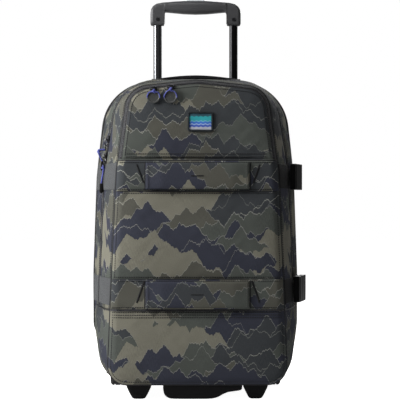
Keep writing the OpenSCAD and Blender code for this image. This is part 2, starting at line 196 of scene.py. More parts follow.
def outward(path):
    """Unit normals of an (x, z) line that runs left to right, pointing out of the case."""
    t = np.gradient(path, axis=0)
    t /= np.maximum(np.linalg.norm(t, axis=1, keepdims=True), 1e-9)
    n = np.stack([-t[:, 1], t[:, 0]], axis=1)
    n[np.sum(n * (path - CENTRE), axis=1) < 0] *= -1
    return n


def inset(x, z, outline=FRONT_REACH):
    """How far (x, z) points lie inside an outline."""
    x, z = np.asarray(x, float), np.asarray(z, float)
    gap = outline[None, :] - (x.reshape(-1, 1) * NX + (z.reshape(-1, 1) - MID_Z) * NZ)
    return np.maximum(gap.min(axis=1), 0).reshape(x.shape)


SEAMS = [BASE_Z, SPLIT_Z, LOWER_BAND[1], UPPER_BAND[0], POCKET_Z, TOP_Z - 10]
PUFFS = [4.0, 0.6, 4.5, 0.6, 3.5]
ROUND = 13
draw = np.random.default_rng(7).uniform
WAVES = [(draw(0.05, 0.3), draw(0.05, 0.3), draw(0, 6.28), draw(0, 6.28)) for _ in range(7)]


def ripple(u, v):
    """Slight unevenness of soft fabric over two lengths along it, about -1 to 1."""
    return sum(np.sin(a * u + c) * np.sin(b * v + d) for a, b, c, d in WAVES) / len(WAVES) * 1.6


def crown(share, power):
    """A bulge over a panel: 0 at both ends and 1 in the middle."""
    return (4 * share * (1 - share)) ** power


def front_y(x, z, lift=0.0):
    """Depth of the front face: rounded at its edges, padded between its seams."""
    x, z = np.broadcast_arrays(np.asarray(x, float), np.asarray(z, float))
    d = inset(x, z)
    k = np.clip(d / ROUND, 0, 1)
    depth = EDGE_DEPTH * np.sqrt(np.maximum(1 - (1 - k) ** 2, 0))
    puff = np.zeros_like(depth)
    for low, high, height in zip(SEAMS, SEAMS[1:], PUFFS):
        puff += height * crown(np.clip((z - low) / (high - low), 0, 1), 0.55)
    soft = np.clip((d - 2) / 45, 0, 1)
    puff *= np.sin(soft * math.pi / 2) ** 0.7
    return EDGE_Y - depth - puff - lift - 0.45 * ripple(x, z) * np.clip(d / 30, 0, 1)


def points(x, y, z):
    """A line of points from their coordinates, each a list or one number."""
    return np.stack(np.broadcast_arrays(*(np.asarray(v, float) for v in (x, y, z))), axis=1)


def level(x, z):
    """A level line of (x, z) points."""
    return np.stack([x, np.full(len(x), z)], axis=1)


def on_front(line, lift=0.15):
    """A line of (x, z) points laid on the front face, or a little in front of it."""
    x, z = np.array(line, float).T
    return points(x, front_y(x, z, lift), z)


def wall_rise(y, y0, y1, puff=2.2):
    """How far a gusset between two depths bulges outwards at a depth."""
    return puff * crown(np.clip((y - y0) / (y1 - y0), 0, 1), 0.6)


# ---- mesh helpers ----
def make(name, verts, faces, material, body=None, uvs=None, stands=()):
    """A mesh object from millimetre vertices, riding on a body and standing for CAD nodes."""
    mesh = bpy.data.meshes.new(name)
    in_metres = [tuple(float(c) * MM for c in v) for v in verts]
    mesh.from_pydata(in_metres, [], [tuple(int(i) for i in f) for f in faces])
    if uvs is not None:
        layer = mesh.uv_layers.new(name="cloth")
        loops = np.empty(len(mesh.loops), np.int32)
        mesh.loops.foreach_get("vertex_index", loops)
        layer.data.foreach_set("uv", (np.array(uvs, float) * MM)[loops].astype(np.float32).ravel())
    mesh.materials.append(material)
    mesh.polygons.foreach_set("use_smooth", [True] * len(mesh.polygons))
    mesh.validate()
    mesh.update()
    obj = bpy.data.objects.new(name, mesh)
    bpy.context.collection.objects.link(obj)
    if body:
        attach(obj, body)
    if stands:
        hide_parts(*stands)
    return obj


def grid_faces(rows, cols, wrap=False):
    """Faces of a grid of rows by cols vertices, with the last column joined to the first if it wraps."""
    faces = []
    for i in range(rows - 1):
        for j in range(cols if wrap else cols - 1):
            k = (j + 1) % cols
            faces.append((i * cols + j, i * cols + k, (i + 1) * cols + k, (i + 1) * cols + j))
    return faces


def capped_faces(rings, n):
    """Faces of a tube of rings of n vertices, closed at both ends."""
    ends = [tuple(range(n)), tuple((rings - 1) * n + k for k in range(n))]
    return grid_faces(rings, n, wrap=True) + ends


def modify(obj, kind, **settings):
    """Adds a modifier with its settings."""
    mod = obj.modifiers.new(kind.lower(), kind)
    for key, value in settings.items():
        setattr(mod, key, value)


def thicken(obj, thickness, inner=None):
    """Gives a sheet a thickness inwards, with the lining on its inner side if it has one."""
    if inner:
        obj.data.materials.append(inner)
        modify(obj, "SOLIDIFY", thickness=thickness * MM, offset=-1, material_offset=1, material_offset_rim=0,
               use_even_offset=True)
    else:
        modify(obj, "SOLIDIFY", thickness=thickness * MM, offset=-1)
    return obj


def rework(obj, change):
    """Runs a change on a piece's mesh."""
    bm = bmesh.new()
    bm.from_mesh(obj.data)
    change(bm)
    bm.to_mesh(obj.data)
    bm.free()
    return obj


def weld(obj, within=0.02):
    """Joins points that coincide, such as where a sheet's columns meet in a corner."""
    def join(bm):
        bmesh.ops.remove_doubles(bm, verts=bm.verts, dist=within * MM)
        bmesh.ops.dissolve_degenerate(bm, edges=bm.edges, dist=within * MM)
    return rework(obj, join)


def finish_solid(obj, degrees):
    """Turns a closed piece's faces outwards and keeps sharp the edges where its surface turns."""
    def shade(bm):
        bmesh.ops.recalc_face_normals(bm, faces=bm.faces)
        for edge in bm.edges:
            edge.smooth = not (len(edge.link_faces) == 2 and edge.calc_face_angle(0) > math.radians(degrees))
    return rework(obj, shade)


def face_towards(obj, direction):
    """Turns a sheet's faces so that they look towards a direction."""
    normal = sum((p.normal * p.area for p in obj.data.polygons), Vector())
    if normal.dot(Vector(direction)) < 0:
        obj.data.flip_normals()
    return obj


def face_out(obj):
    """Turns a sheet's faces away from the middle of the case."""
    middle = Vector((0, 75 * MM, MID_Z * MM))
    if sum(p.area * p.normal.dot((p.center - middle).normalized()) for p in obj.data.polygons) < 0:
        obj.data.flip_normals()
    return obj


def front_sheet(name, rows, material, body, stands=(), cut_from=0.0):
    """A sheet through rows of points on the front, cut from the printed cloth so much further up."""
    verts = [p for row in rows for p in row]
    uvs = [(p[0], p[2] + cut_from) for p in verts]
    obj = make(name, verts, grid_faces(len(rows), len(rows[0])), material, body, uvs, stands)
    return face_towards(weld(obj), FORWARD)


class Parts:
    """Collects several shapes into one mesh."""

    def __init__(self):
        self.verts = []
        self.faces = []
        self.place = Matrix.Identity(4)

    def add(self, verts, faces):
        """Adds a shape, moved to the present place."""
        start = len(self.verts)
        self.verts += [tuple(self.place @ Vector(tuple(float(c) for c in v))) for v in verts]
        self.faces += [tuple(i + start for i in f) for f in faces]
        return self

    def take(self, bm):
        """Adds a bmesh and frees it."""
        bm.verts.index_update()
        self.add([v.co for v in bm.verts], [[v.index for v in f.verts] for f in bm.faces])
        bm.free()
        return self

    def box(self, low, high, bevel=0.6):
        """A box with bevelled edges."""
        bm = bmesh.new()
        bmesh.ops.create_cube(bm, size=1)
        low, high = Vector(low), Vector(high)
        for v in bm.verts:
            v.co = Vector((low[k] + (v.co[k] + 0.5) * (high[k] - low[k]) for k in range(3)))
        size = min(high[k] - low[k] for k in range(3))
        bmesh.ops.bevel(bm, geom=list(bm.edges), offset=min(bevel, size * 0.45), segments=2,
                        profile=0.5, affect="EDGES", clamp_overlap=True)
        return self.take(bm)

    def prism(self, outline, low, high, axis="y", bevel=0.8, segments=2, hollow=None):
        """An outline drawn across one axis, pushed from low to high along it.

        A hollow is a square pocket in the high end, given by two corners and its floor.
        """
        bm = bmesh.new()
        turn = {"y": lambda a, b, c: (a, c, b), "z": lambda a, b, c: (a, b, c)}[axis]
        first = [bm.verts.new(turn(a, b, low)) for a, b in outline]
        last = [bm.verts.new(turn(a, b, high)) for a, b in outline]
        bm.faces.new(first)
        if hollow:
            (a0, b0), (a1, b1), floor = hollow
            corners = [(a0, b1), (a0, b0), (a1, b0), (a1, b1)]
            mouth = [bm.verts.new(turn(a, b, high)) for a, b in corners]
            deep = [bm.verts.new(turn(a, b, floor)) for a, b in corners]
            bm.faces.new(last + mouth[::-1])
            bm.faces.new((last[0], mouth[0], mouth[3], last[-1]))
            bm.faces.new(deep)
            for i in range(4):
                j = (i + 1) % 4
                bm.faces.new((mouth[i], mouth[j], deep[j], deep[i]))
        else:
            bm.faces.new(last[::-1])
        for i in range(len(first)):
            j = (i + 1) % len(first)
            bm.faces.new((first[j], first[i], last[i], last[j]))
        bmesh.ops.recalc_face_normals(bm, faces=bm.faces)
        outer = set(first + last)
        rims = [e for e in bm.edges if e.calc_face_angle(0) > 0.6 and outer.issuperset(e.verts)]
        bmesh.ops.bevel(bm, geom=rims, offset=bevel, segments=segments, profile=0.5, affect="EDGES",
                        clamp_overlap=True)
        return self.take(bm)

    def lathe(self, profile, centre, axis="x", n=48):
        """A closed (radius, along) profile turned about an axis."""
        verts = []
        for i in range(n):
            a = 2 * math.pi * i / n
            for r, h in profile:
                u, v = r * math.cos(a), r * math.sin(a)
                local = {"x": (h, u, v), "y": (u, h, v)}[axis]
                verts.append([centre[k] + local[k] for k in range(3)])
        m = len(profile)
        faces = [(i * m + j, ((i + 1) % n) * m + j, ((i + 1) % n) * m + (j + 1) % m, i * m + (j + 1) % m)
                 for i in range(n) for j in range(m)]
        return self.add(verts, faces)

    def sweep(self, path, radius, n=8, closed=False, up=(0, 0, 1)):
        """A round cord along a path; the radius may be one number or one for each point."""
        path = np.array(path, float)
        count = len(path)
        t = np.roll(path, -1, axis=0) - np.roll(path, 1, axis=0) if closed else np.gradient(path, axis=0)
        t /= np.maximum(np.linalg.norm(t, axis=1, keepdims=True), 1e-9)
        radius = np.broadcast_to(np.asarray(radius, float), (count,))
        side = np.cross(t, np.array(up, float))
        weak = np.linalg.norm(side, axis=1) < 0.05
        side[weak] = np.cross(t[weak], np.array((1.0, 0.1, 0)))
        side /= np.linalg.norm(side, axis=1, keepdims=True)
        rise = np.cross(side, t)
        verts = []
        for i in range(count):
            for k in range(n):
                a = 2 * math.pi * k / n
                verts.append(path[i] + radius[i] * (math.cos(a) * side[i] + math.sin(a) * rise[i]))
        if not closed:
            return self.add(verts, capped_faces(count, n))
        last = (count - 1) * n
        joint = [(last + k, last + (k + 1) % n, (k + 1) % n, k) for k in range(n)]
        return self.add(verts, grid_faces(count, n, wrap=True) + joint)

    def object(self, name, material, body, stands=(), slot=None, sharp=35):
        """Makes the piece, with edges sharper than so many degrees kept sharp."""
        return finish_solid(make(name, self.verts, self.faces, material, body, None, stands), sharp)


# ---- materials ----
def paint(tree, kind, inputs=None, **settings):
    """A shader node with its settings, and its inputs given as values or as other nodes' outputs."""
    made = tree.nodes.new("ShaderNode" + kind)
    for key, value in settings.items():
        setattr(made, key, value)
    for key, value in (inputs or {}).items():
        socket = made.inputs[key]
        if isinstance(value, bpy.types.NodeSocket):
            tree.links.new(value, socket)
        else:
            socket.default_value = value
    return made


def rgb(r, g, b):
    """An opaque colour."""
    return (r, g, b, 1)


def sums(tree, operation, a, b=0.0, c=0.0):
    """The result of a sum."""
    return paint(tree, "Math", {0: a, 1: b, 2: c}, operation=operation).outputs[0]


def sine(tree, value, period):
    """A sine wave of a value."""
    return sums(tree, "SINE", sums(tree, "MULTIPLY", value, 2 * math.pi / period))


def place(tree, source="Object"):
    """Where a point is, on the object or on its cloth."""
    return paint(tree, "TexCoord").outputs[source]


def split(tree, where):
    """The three coordinates of a place."""
    return paint(tree, "SeparateXYZ", {0: where}).outputs


def noise(tree, where, scale, detail=2.0):
    """Soft random variation from 0 to 1."""
    return paint(tree, "TexNoise", {"Vector": where, "Scale": scale, "Detail": detail}).outputs["Fac"]


def map_range(tree, value, low, high, to_low, to_high):
    """A value between low and high moved to between two others."""
    limits = {"Value": value, "From Min": low, "From Max": high, "To Min": to_low, "To Max": to_high}
    return paint(tree, "MapRange", limits).outputs[0]


def spread_about(tree, value, low, high, middle, spread):
    """A value between low and high turned into a factor about a middle."""
    return map_range(tree, value, low, high, middle - spread, middle + spread)


def blend_colours(tree, factor, a, b, mode="MIX"):
    """One colour blended with another."""
    return paint(tree, "Mix", {0: factor, 6: a, 7: b}, data_type="RGBA", blend_type=mode).outputs[2]


def tint(tree, shader, colour, shade):
    """Gives the shader a colour, as numbers or a node's output, made lighter and darker by a factor."""
    if not isinstance(colour, bpy.types.NodeSocket):
        plain = paint(tree, "RGB").outputs[0]
        plain.default_value = rgb(*colour)
        colour = plain
    tinted = paint(tree, "VectorMath", {0: colour, 3: shade}, operation="SCALE").outputs[0]
    tree.links.new(tinted, shader.inputs["Base Color"])


def emboss(tree, shader, height, strength, distance=0.0003):
    """Raises the surface a little by a height."""
    raised = paint(tree, "Bump", {"Height": height, "Strength": strength, "Distance": distance}).outputs[0]
    tree.links.new(raised, shader.inputs["Normal"])


def new_material(name, roughness=0.8, metallic=0.0, sheen=0.0, specular=0.5):
    """A material with its node tree and its shader."""
    material = bpy.data.materials.new(name)
    material.use_nodes = True
    tree = material.node_tree
    shader = tree.nodes["Principled BSDF"]
    for socket, value in (("Roughness", roughness), ("Metallic", metallic), ("Specular IOR Level", specular),
                          ("Sheen Weight", sheen), ("Sheen Roughness", 0.5)):
        shader.inputs[socket].default_value = value
    return material, tree, shader


def mottle(tree, shader, colour, where, scale, spread, detail=3.0):
    """Fine mottling of a colour; returns its pattern."""
    speck = noise(tree, where, scale, detail)
    shade = spread_about(tree, speck, 0.3, 0.7, 1, spread)
    soft = spread_about(tree, noise(tree, where, 18.0, 3.0), 0.3, 0.7, 1, spread * 0.4)
    tint(tree, shader, colour, sums(tree, "MULTIPLY", shade, soft))
    return speck


def weave_height(tree, where, pitch):
    """Over-and-under threads of a plain weave, with this distance between threads in metres."""
    parts = split(tree, where)
    return sums(tree, "MULTIPLY", sine(tree, parts[0], pitch), sine(tree, parts[1], pitch))


KHAKI = (0.124, 0.119, 0.095)
OLIVE = (0.062, 0.061, 0.051)
SAGE = (0.054, 0.059, 0.053)
NAVY = (0.028, 0.030, 0.041)
SLATE = (0.033, 0.036, 0.039)
RIM = (0.21, 0.21, 0.19)
RIM_HALF = 0.0005
HILL_ROW = 0.021
HILL_STEP = 0.090
HILL_REACH = 0.35
HILL_TOP = 0.72
LINE_SHIFTS = (1.7, 5.3, 9.1, 13.6)

# Where one colour gathers on the cloth: middle, half-width and half-height, all in metres, for each colour
ZONES = {
    KHAKI: [(-0.055, 0.479, 0.040, 0.009), (-0.100, 0.398, 0.034, 0.018), (-0.035, 0.312, 0.080, 0.020),
            (-0.086, 0.224, 0.056, 0.026), (0.022, 0.165, 0.030, 0.018), (-0.055, 0.100, 0.064, 0.026),
            (-0.100, 0.036, 0.050, 0.012), (0.022, 0.603, 0.030, 0.018), (0.185, 0.250, 0.045, 0.035),
            (-0.200, 0.250, 0.040, 0.040)],
    NAVY: [(-0.060, 0.400, 0.045, 0.018), (-0.095, 0.275, 0.050, 0.020), (0.000, 0.250, 0.060, 0.020),
           (0.070, 0.225, 0.055, 0.022), (0.040, 0.110, 0.035, 0.028)],
    SLATE: [(-0.060, 0.445, 0.060, 0.020), (0.085, 0.455, 0.060, 0.025), (0.075, 0.395, 0.060, 0.020),
            (0.085, 0.310, 0.040, 0.026), (0.095, 0.090, 0.050, 0.050)],
    OLIVE: [(-0.110, 0.470, 0.035, 0.040), (0.020, 0.430, 0.040, 0.030)],
}


def hill_group():
    """One printed hill: below its jagged outline the cloth takes the hill's colour, with a thin pale rim."""
    group = bpy.data.node_groups.new("hill", "ShaderNodeTree")
    face = group.interface
    for name in ("Under", "Colour"):
        face.new_socket(name, in_out="INPUT", socket_type="NodeSocketColor")
    for name in ("U", "V", "Peak U", "Peak V", "Left slope", "Right slope", "Jag", "Rim"):
        face.new_socket(name, in_out="INPUT", socket_type="NodeSocketFloat")
    face.new_socket("Result", in_out="OUTPUT", socket_type="NodeSocketColor")
    given = group.nodes.new("NodeGroupInput").outputs
    shown = group.nodes.new("NodeGroupOutput")
    away = sums(group, "SUBTRACT", given["U"], given["Peak U"])
    fall = sums(group, "MAXIMUM", sums(group, "MULTIPLY", away, given["Right slope"]),
                sums(group, "MULTIPLY", away, given["Left slope"]))
    height = sums(group, "ADD", sums(group, "SUBTRACT", given["Peak V"], fall), given["Jag"])
    depth = sums(group, "SUBTRACT", height, given["V"])
    filled = blend_colours(group, sums(group, "GREATER_THAN", depth, 0.0), given["Under"], given["Colour"])
    near = sums(group, "COMPARE", depth, 0.0, RIM_HALF)
    rimmed = blend_colours(group, sums(group, "MULTIPLY", near, given["Rim"]), filled, rgb(*RIM))
    group.links.new(rimmed, shown.inputs["Result"])
    return group


def hill_colour(u, v, draw, last):
    """A hill's colour: its zone's, or one drawn at random that differs from the last."""
    for colour, zones in ZONES.items():
        for zone_u, zone_v, half_u, half_v in zones:
            if ((u - zone_u) / half_u) ** 2 + ((v - zone_v) / half_v) ** 2 < 1:
                return colour
    near_front = abs(u) < 0.14
    choices = [SAGE, OLIVE, NAVY, SLATE, SAGE, OLIVE] if near_front else [KHAKI, NAVY, SAGE, OLIVE, SLATE]
    return draw.choice([colour for colour in choices if colour is not last])


def hills():
    """The printed hills from the back to the front: peak, slopes, colour, which jagged line, rim strength."""
    draw = random.Random(23)
    found = []
    colour = None
    for row in range(int((HILL_TOP + 0.02) / HILL_ROW)):
        level = HILL_TOP - row * HILL_ROW
        u = -HILL_REACH + draw.uniform(0, HILL_STEP)
        while u < HILL_REACH:
            peak_u = u + draw.uniform(-0.02, 0.02)
            peak_v = level + draw.uniform(-0.012, 0.012)
            colour = hill_colour(peak_u, peak_v - HILL_ROW * 0.6, draw, colour)
            left = -draw.uniform(0.25, 0.8)
            right = draw.uniform(0.25, 0.8)
            line = draw.randrange(len(LINE_SHIFTS))
            rim = 0.0 if colour is KHAKI else draw.uniform(0.35, 0.85)
            found.append((peak_u, peak_v, left, right, colour, line, rim))
            u += HILL_STEP * draw.uniform(0.7, 1.1)
    return sorted(found, key=lambda hill: -hill[1])


def jagged(tree, u, shift):
    """A jagged line: small sharp peaks on slow swells."""
    at = sums(tree, "ADD", u, shift)
    swell, fine = (paint(tree, "TexNoise", {"W": at, "Scale": scale, "Detail": detail}, noise_dimensions="1D")
                   for scale, detail in ((26.0, 1.0), (260.0, 3.0)))
    peak = paint(tree, "TexVoronoi", {"W": at, "Scale": 44.0}, voronoi_dimensions="1D")
    slow = sums(tree, "MULTIPLY_ADD", swell.outputs["Fac"], 0.020, -0.010)
    quick = sums(tree, "MULTIPLY_ADD", fine.outputs["Fac"], 0.0076, -0.0038)
    sharp = sums(tree, "MULTIPLY_ADD", peak.outputs["Distance"], 0.020, -0.0050)
    return sums(tree, "ADD", slow, sums(tree, "ADD", quick, sharp))


def hill_colours(tree, where):
    """The colour of the print: each hill laid over the ones behind it."""
    parts = split(tree, where)
    lines = [jagged(tree, parts[0], shift) for shift in LINE_SHIFTS]
    group = hill_group()
    colour = paint(tree, "RGB").outputs[0]
    colour.default_value = rgb(*SAGE)
    for peak_u, peak_v, left, right, hue, line, rim in hills():
        made = paint(tree, "Group")
        made.node_tree = group
        for socket, source in (("Under", colour), ("U", parts[0]), ("V", parts[1]), ("Jag", lines[line])):
            tree.links.new(source, made.inputs[socket])
        for socket, value in (("Peak U", peak_u), ("Peak V", peak_v), ("Left slope", left),
                              ("Right slope", right), ("Rim", rim), ("Colour", rgb(*hue))):
            made.inputs[socket].default_value = value
        colour = made.outputs["Result"]
    return colour


def printed_cloth():
    """Matte polyester printed with layered hill outlines, with a slanting heather in patches."""
    material, tree, shader = new_material("hill_print", roughness=0.9, specular=0.06)
    where = place(tree, "UV")
    threads = weave_height(tree, where, 0.0011)
    speck = noise(tree, where, 800.0)
    soft = sums(tree, "MULTIPLY_ADD", noise(tree, where, 14.0, 3.0), 0.25, 0.70)
    slant = paint(tree, "Mapping", {"Vector": where, "Rotation": (0, 0, 0.9), "Scale": (1900.0, 170.0, 1.0)})
    streak = sums(tree, "SUBTRACT", noise(tree, slant.outputs[0], 1.0, 1.0), 0.5)
    heather = spread_about(tree, noise(tree, where, 11.0), 0.48, 0.56, 0.5, 0.4)
    soft = sums(tree, "MULTIPLY_ADD", streak, heather, soft)
    shade = sums(tree, "MULTIPLY_ADD", threads, 0.05, sums(tree, "MULTIPLY_ADD", speck, 0.36, soft))
    tint(tree, shader, hill_colours(tree, where), shade)
    emboss(tree, shader, sums(tree, "ADD", sums(tree, "MULTIPLY", threads, 0.5), speck), 0.25)
    return material


def cloth(name, colour, source="Object", pitch=0.0014, roughness=0.85, sheen=0.1):
    """Plain woven cloth of one colour."""
    material, tree, shader = new_material(name, roughness=roughness, sheen=sheen, specular=0.25)
    where = place(tree, source)
    mottle(tree, shader, colour, where, 650.0, 0.2)
    emboss(tree, shader, weave_height(tree, where, pitch), 0.3)
    return material


def webbing():
    """Black webbing: ribs across its length and a herringbone of fine threads."""
    material, tree, shader = new_material("webbing", roughness=0.75, specular=0.08)
    parts = split(tree, place(tree, "UV"))
    ribs = sine(tree, parts[0], 0.0022)
    slant = sine(tree, sums(tree, "ADD", parts[0], parts[1]), 0.003)
    both = sums(tree, "MULTIPLY_ADD", slant, 0.5, ribs)
    tint(tree, shader, (0.0055, 0.0055, 0.006), sums(tree, "MULTIPLY_ADD", both, 0.16, 1.0))
    emboss(tree, shader, both, 0.4, 0.0004)
    return material


def plastic(name, colour, roughness=0.45, bump=0.12, scale=1400.0, specular=0.35):
    """Moulded plastic with a fine texture."""
    material, tree, shader = new_material(name, roughness=roughness, specular=specular)
    speck = mottle(tree, shader, colour, place(tree), scale, 0.12)
    emboss(tree, shader, speck, bump, 0.0002)
    rough = map_range(tree, speck, 0.0, 1.0, roughness - 0.06, roughness + 0.1)
    tree.links.new(rough, shader.inputs["Roughness"])
    return material


def metal(name, colour, roughness=0.3, brushed_axis=2):
    """Brushed metal with fine lines along one axis."""
    material, tree, shader = new_material(name, roughness=roughness, metallic=1.0)
    stretch = [1400.0, 1400.0, 1400.0]
    stretch[brushed_axis] = 14.0
    where = paint(tree, "VectorMath", {0: place(tree), 1: stretch}, operation="MULTIPLY").outputs[0]
    lines = noise(tree, where, 1.0)
    tint(tree, shader, colour, sums(tree, "MULTIPLY_ADD", lines, 0.3, 0.85))
    rough = sums(tree, "MULTIPLY_ADD", lines, 0.16, roughness - 0.06)
    tree.links.new(rough, shader.inputs["Roughness"])
    emboss(tree, shader, lines, 0.06, 0.0002)
    return material


def tubes_with_painted_light():
    """The anodised tubes: dark metal with painted light and shade, the left tube painted greyer as if lit and
    the right one darker as if in shade.
    """
    material = metal("dark_tube", (1.0, 1.0, 1.0))
    tree = material.node_tree
    base = tree.nodes["Principled BSDF"].inputs["Base Color"]
    # painted light and shade: the tube left of the middle is coloured greyer as if lit, the one to the right
    # darker as if shaded
    on_right = sums(tree, "GREATER_THAN", split(tree, place(tree))[0], 0.0)
    painted_light_tone = blend_colours(tree, on_right, rgb(0.105, 0.107, 0.112), rgb(0.020, 0.020, 0.021))
    tree.links.new(blend_colours(tree, 1.0, base.links[0].from_socket, painted_light_tone, "MULTIPLY"), base)
    return material


def braid(name, colour):
    """Braided cord: crossing diagonal strands."""
    material, tree, shader = new_material(name, roughness=0.55, sheen=0.2)
    parts = split(tree, place(tree))
    crossing = [sine(tree, sums(tree, way, parts[0], parts[2]), 0.0016) for way in ("ADD", "SUBTRACT")]
    strands = sums(tree, "MAXIMUM", *crossing)
    tint(tree, shader, colour, sums(tree, "MULTIPLY_ADD", strands, 0.25, 0.8))
    emboss(tree, shader, strands, 0.5)
    return material


def label_stripes(low, high):
    """The label: plain bands of teal, blue and pale grey across its height, each waving slightly."""
    material, tree, shader = new_material("label_stripes", roughness=0.5)
    parts = split(tree, place(tree))
    share = map_range(tree, parts[2], low * MM, high * MM, 0.0, 1.0)
    wave = sums(tree, "MULTIPLY", sums(tree, "SINE", sums(tree, "MULTIPLY", parts[0], 900.0)), 0.025)
    ramp = paint(tree, "ValToRGB", {"Fac": sums(tree, "ADD", share, wave)})
    bands = [(0.0, (0.30, 0.31, 0.36)), (0.16, (0.03, 0.07, 0.32)), (0.30, (0.22, 0.30, 0.45)),
             (0.36, (0.02, 0.10, 0.38)), (0.50, (0.10, 0.28, 0.36)), (0.56, (0.01, 0.22, 0.24)),
             (0.84, (0.012, 0.05, 0.07))]
    ramp.color_ramp.interpolation = "CONSTANT"
    marks = ramp.color_ramp.elements
    while len(marks) < len(bands):
        marks.new(0.5)
    for mark, (at, colour) in zip(marks, bands):
        mark.position = at
        mark.color = rgb(*colour)
    tree.links.new(ramp.outputs[0], shader.inputs["Base Color"])
    emboss(tree, shader, noise(tree, place(tree), 1500.0), 0.2, 0.0002)
    return material


PRINT = printed_cloth()
GREY = cloth("grey_cloth", (0.029, 0.031, 0.033), source="UV")
BACK_CLOTH = cloth("back_cloth", (0.026, 0.027, 0.028), source="UV")
LINING = cloth("lining", (0.10, 0.10, 0.105))
WEB = webbing()
PIPING = cloth("piping", (0.008, 0.008, 0.009), roughness=0.7, sheen=0.02)
TAPE = cloth("zip_tape", (0.014, 0.014, 0.016), pitch=0.0009)
DARK_TRIM = cloth("dark_trim", (0.007, 0.010, 0.012), pitch=0.0008, sheen=0.0)
PALE_THREAD = cloth("pale_thread", (0.085, 0.086, 0.080), pitch=0.0005, roughness=0.7, sheen=0.0)
THREAD = cloth("thread", (0.007, 0.007, 0.008), pitch=0.0005, roughness=0.7, sheen=0.0)
BLACK = plastic("black_plastic", (0.0036, 0.0036, 0.0039), roughness=0.4, specular=0.09)
SOFT_BLACK = plastic("grip_plastic", (0.034, 0.034, 0.036), roughness=0.42, bump=0.2)
BUTTON = plastic("button_plastic", (0.36, 0.37, 0.38), roughness=0.4)
COIL = plastic("zip_coil", (0.020, 0.020, 0.022), roughness=0.3)
TAB = plastic("pull_tab", (0.030, 0.031, 0.030), roughness=0.5)
RUBBER = plastic("tyre_rubber", (0.020, 0.020, 0.020), roughness=0.75, bump=0.3, scale=700.0)
HUB = plastic("hub_plastic", (0.050, 0.050, 0.053), roughness=0.4)
BOARD = plastic("fibre_board", (0.030, 0.028, 0.026), roughness=0.8, bump=0.3, scale=400.0)
CORD = braid("blue_cord", (0.024, 0.034, 0.235))
STEEL = metal("steel", (0.52, 0.52, 0.54), brushed_axis=0)
SILVER = metal("silver_tube", (0.50, 0.51, 0.53))
DARK_TUBE = tubes_with_painted_light()
DARK_METAL = metal("dark_metal", (0.045, 0.045, 0.048), roughness=0.35, brushed_axis=0)


# ---- case cloth ----
def hidden_by_hardware(point):
    """Whether a point of the cloth lies inside a wheel housing or where the handle tubes pass through."""
    x, y, z = abs(point[0]), point[1], point[2]
    beyond_x = max(x - (HOUSE_HIGH[0] - HOUSE_ROUND), 0)
    beyond_z = max(z - (HOUSE_HIGH[2] - HOUSE_ROUND), 0)
    within_corner = math.hypot(beyond_x, beyond_z) < HOUSE_ROUND - HOUSE_LAP
    in_housing = x > HOUSE_LOW[0] + HOUSE_LAP and y > HOUSE_LOW[1] + HOUSE_LAP and within_corner
    in_tube = abs(x - TUBE_X) < 9 and abs(y - TUBE_Y) < 8 and z > TOP_Z - 5
    return in_housing or in_tube


def without_hidden(verts, faces):
    """The faces of the cloth that aren't hidden by hardware."""
    v = np.array(verts)
    return [f for f in faces if not hidden_by_hardware(v[list(f)].mean(axis=0))]


def gusset(name, y0, y1, over_top, z_cut, body, node):
    """A gusset of printed cloth between two depths, padded between its seams but flat under the bezel."""
    rows, cols = 26, 300
    front = outline_path(EDGE_Y, SPLIT_Z, over_top, cols)
    normals = outward(front)
    along = np.arange(cols) * 3.0
    verts, uvs = [], []
    for y in np.linspace(y0, y1, rows):
        path = outline_path(y, z_cut, over_top, cols)
        share = (y - y0) / (y1 - y0)
        rise = wall_rise(y, y0, y1) + 0.5 * ripple(along, y * 1.7) * min(1, 6 * share * (1 - share))
        flat = (np.abs(path[:, 0]) < BEZEL_HIGH[0] + 4) & (path[:, 1] > TOP_Z - 12) & (y > BEZEL_LOW[1] - 8)
        rise = np.where(flat, rise * 0.1, rise)
        x, z = (path + outward(path) * rise[:, None]).T
        verts += list(points(x, y, z))
        uvs += list(front + normals * (y - EDGE_Y))
    faces = without_hidden(verts, grid_faces(rows, cols))
    obj = make(name, verts, faces, PRINT, body, uvs, (node,))
    thicken(face_out(obj), PANEL_T, LINING)


def gathered(count, power):
    """Numbers from -1 to 1, closer together towards both ends."""
    k = np.linspace(-1, 1, count)
    return np.sign(k) * (1 - (1 - np.abs(k)) ** power)


def fan_sheet(name, base_z, edge, body, node):
    """A front panel between a level seam and a curved edge: columns run from the seam to the edge."""
    u = gathered(len(edge), 1.5)
    foot = level(u * edge[-1][0], base_z)
    edge = resample(edge, (u + 1) / 2)
    shares = 1 - (1 - np.linspace(0, 1, 44)) ** 1.7
    rows = [on_front(foot * (1 - share) + edge * share, 0) for share in shares]
    thicken(front_sheet(name, rows, PRINT, body, (node,)), PANEL_T, LINING)


def front_cloth():
    """The lower front, the lid's middle, the pocket's face, and the rim from its zip to the front seam."""
    fan_sheet("lower_front", SPLIT_Z, outline_path(EDGE_Y, SPLIT_Z, False, 180), "bag", "lower_shell")
    k = gathered(110, 1.7)
    rows = [on_front(level(k * side_x(EDGE_Y, z), z), 0) for z in np.linspace(SPLIT_Z + GAP, POCKET_Z, 90)]
    thicken(front_sheet("lid_front", rows, PRINT, "lid", ("lid_shell",)), PANEL_T, LINING)
    fan_sheet("pocket_face", POCKET_Z + GAP, inner_edge(POCKET_Z + GAP, FLAP_IN), "flap", "pocket_flap")
    rows = [on_front(inner_edge(POCKET_Z, d, 200), 0) for d in np.linspace(0, FLAP_IN - 1.2, 9)]
    thicken(front_sheet("pocket_rim", rows, TAPE, "lid"), PANEL_T, LINING)


CHANNEL_X = TUBE_X + 22
CHANNEL_LEVELS = (SPLIT_Z + 14, (SPLIT_Z + TOP_Z) / 2 + 40)
CHANNEL_HALF = 3.2


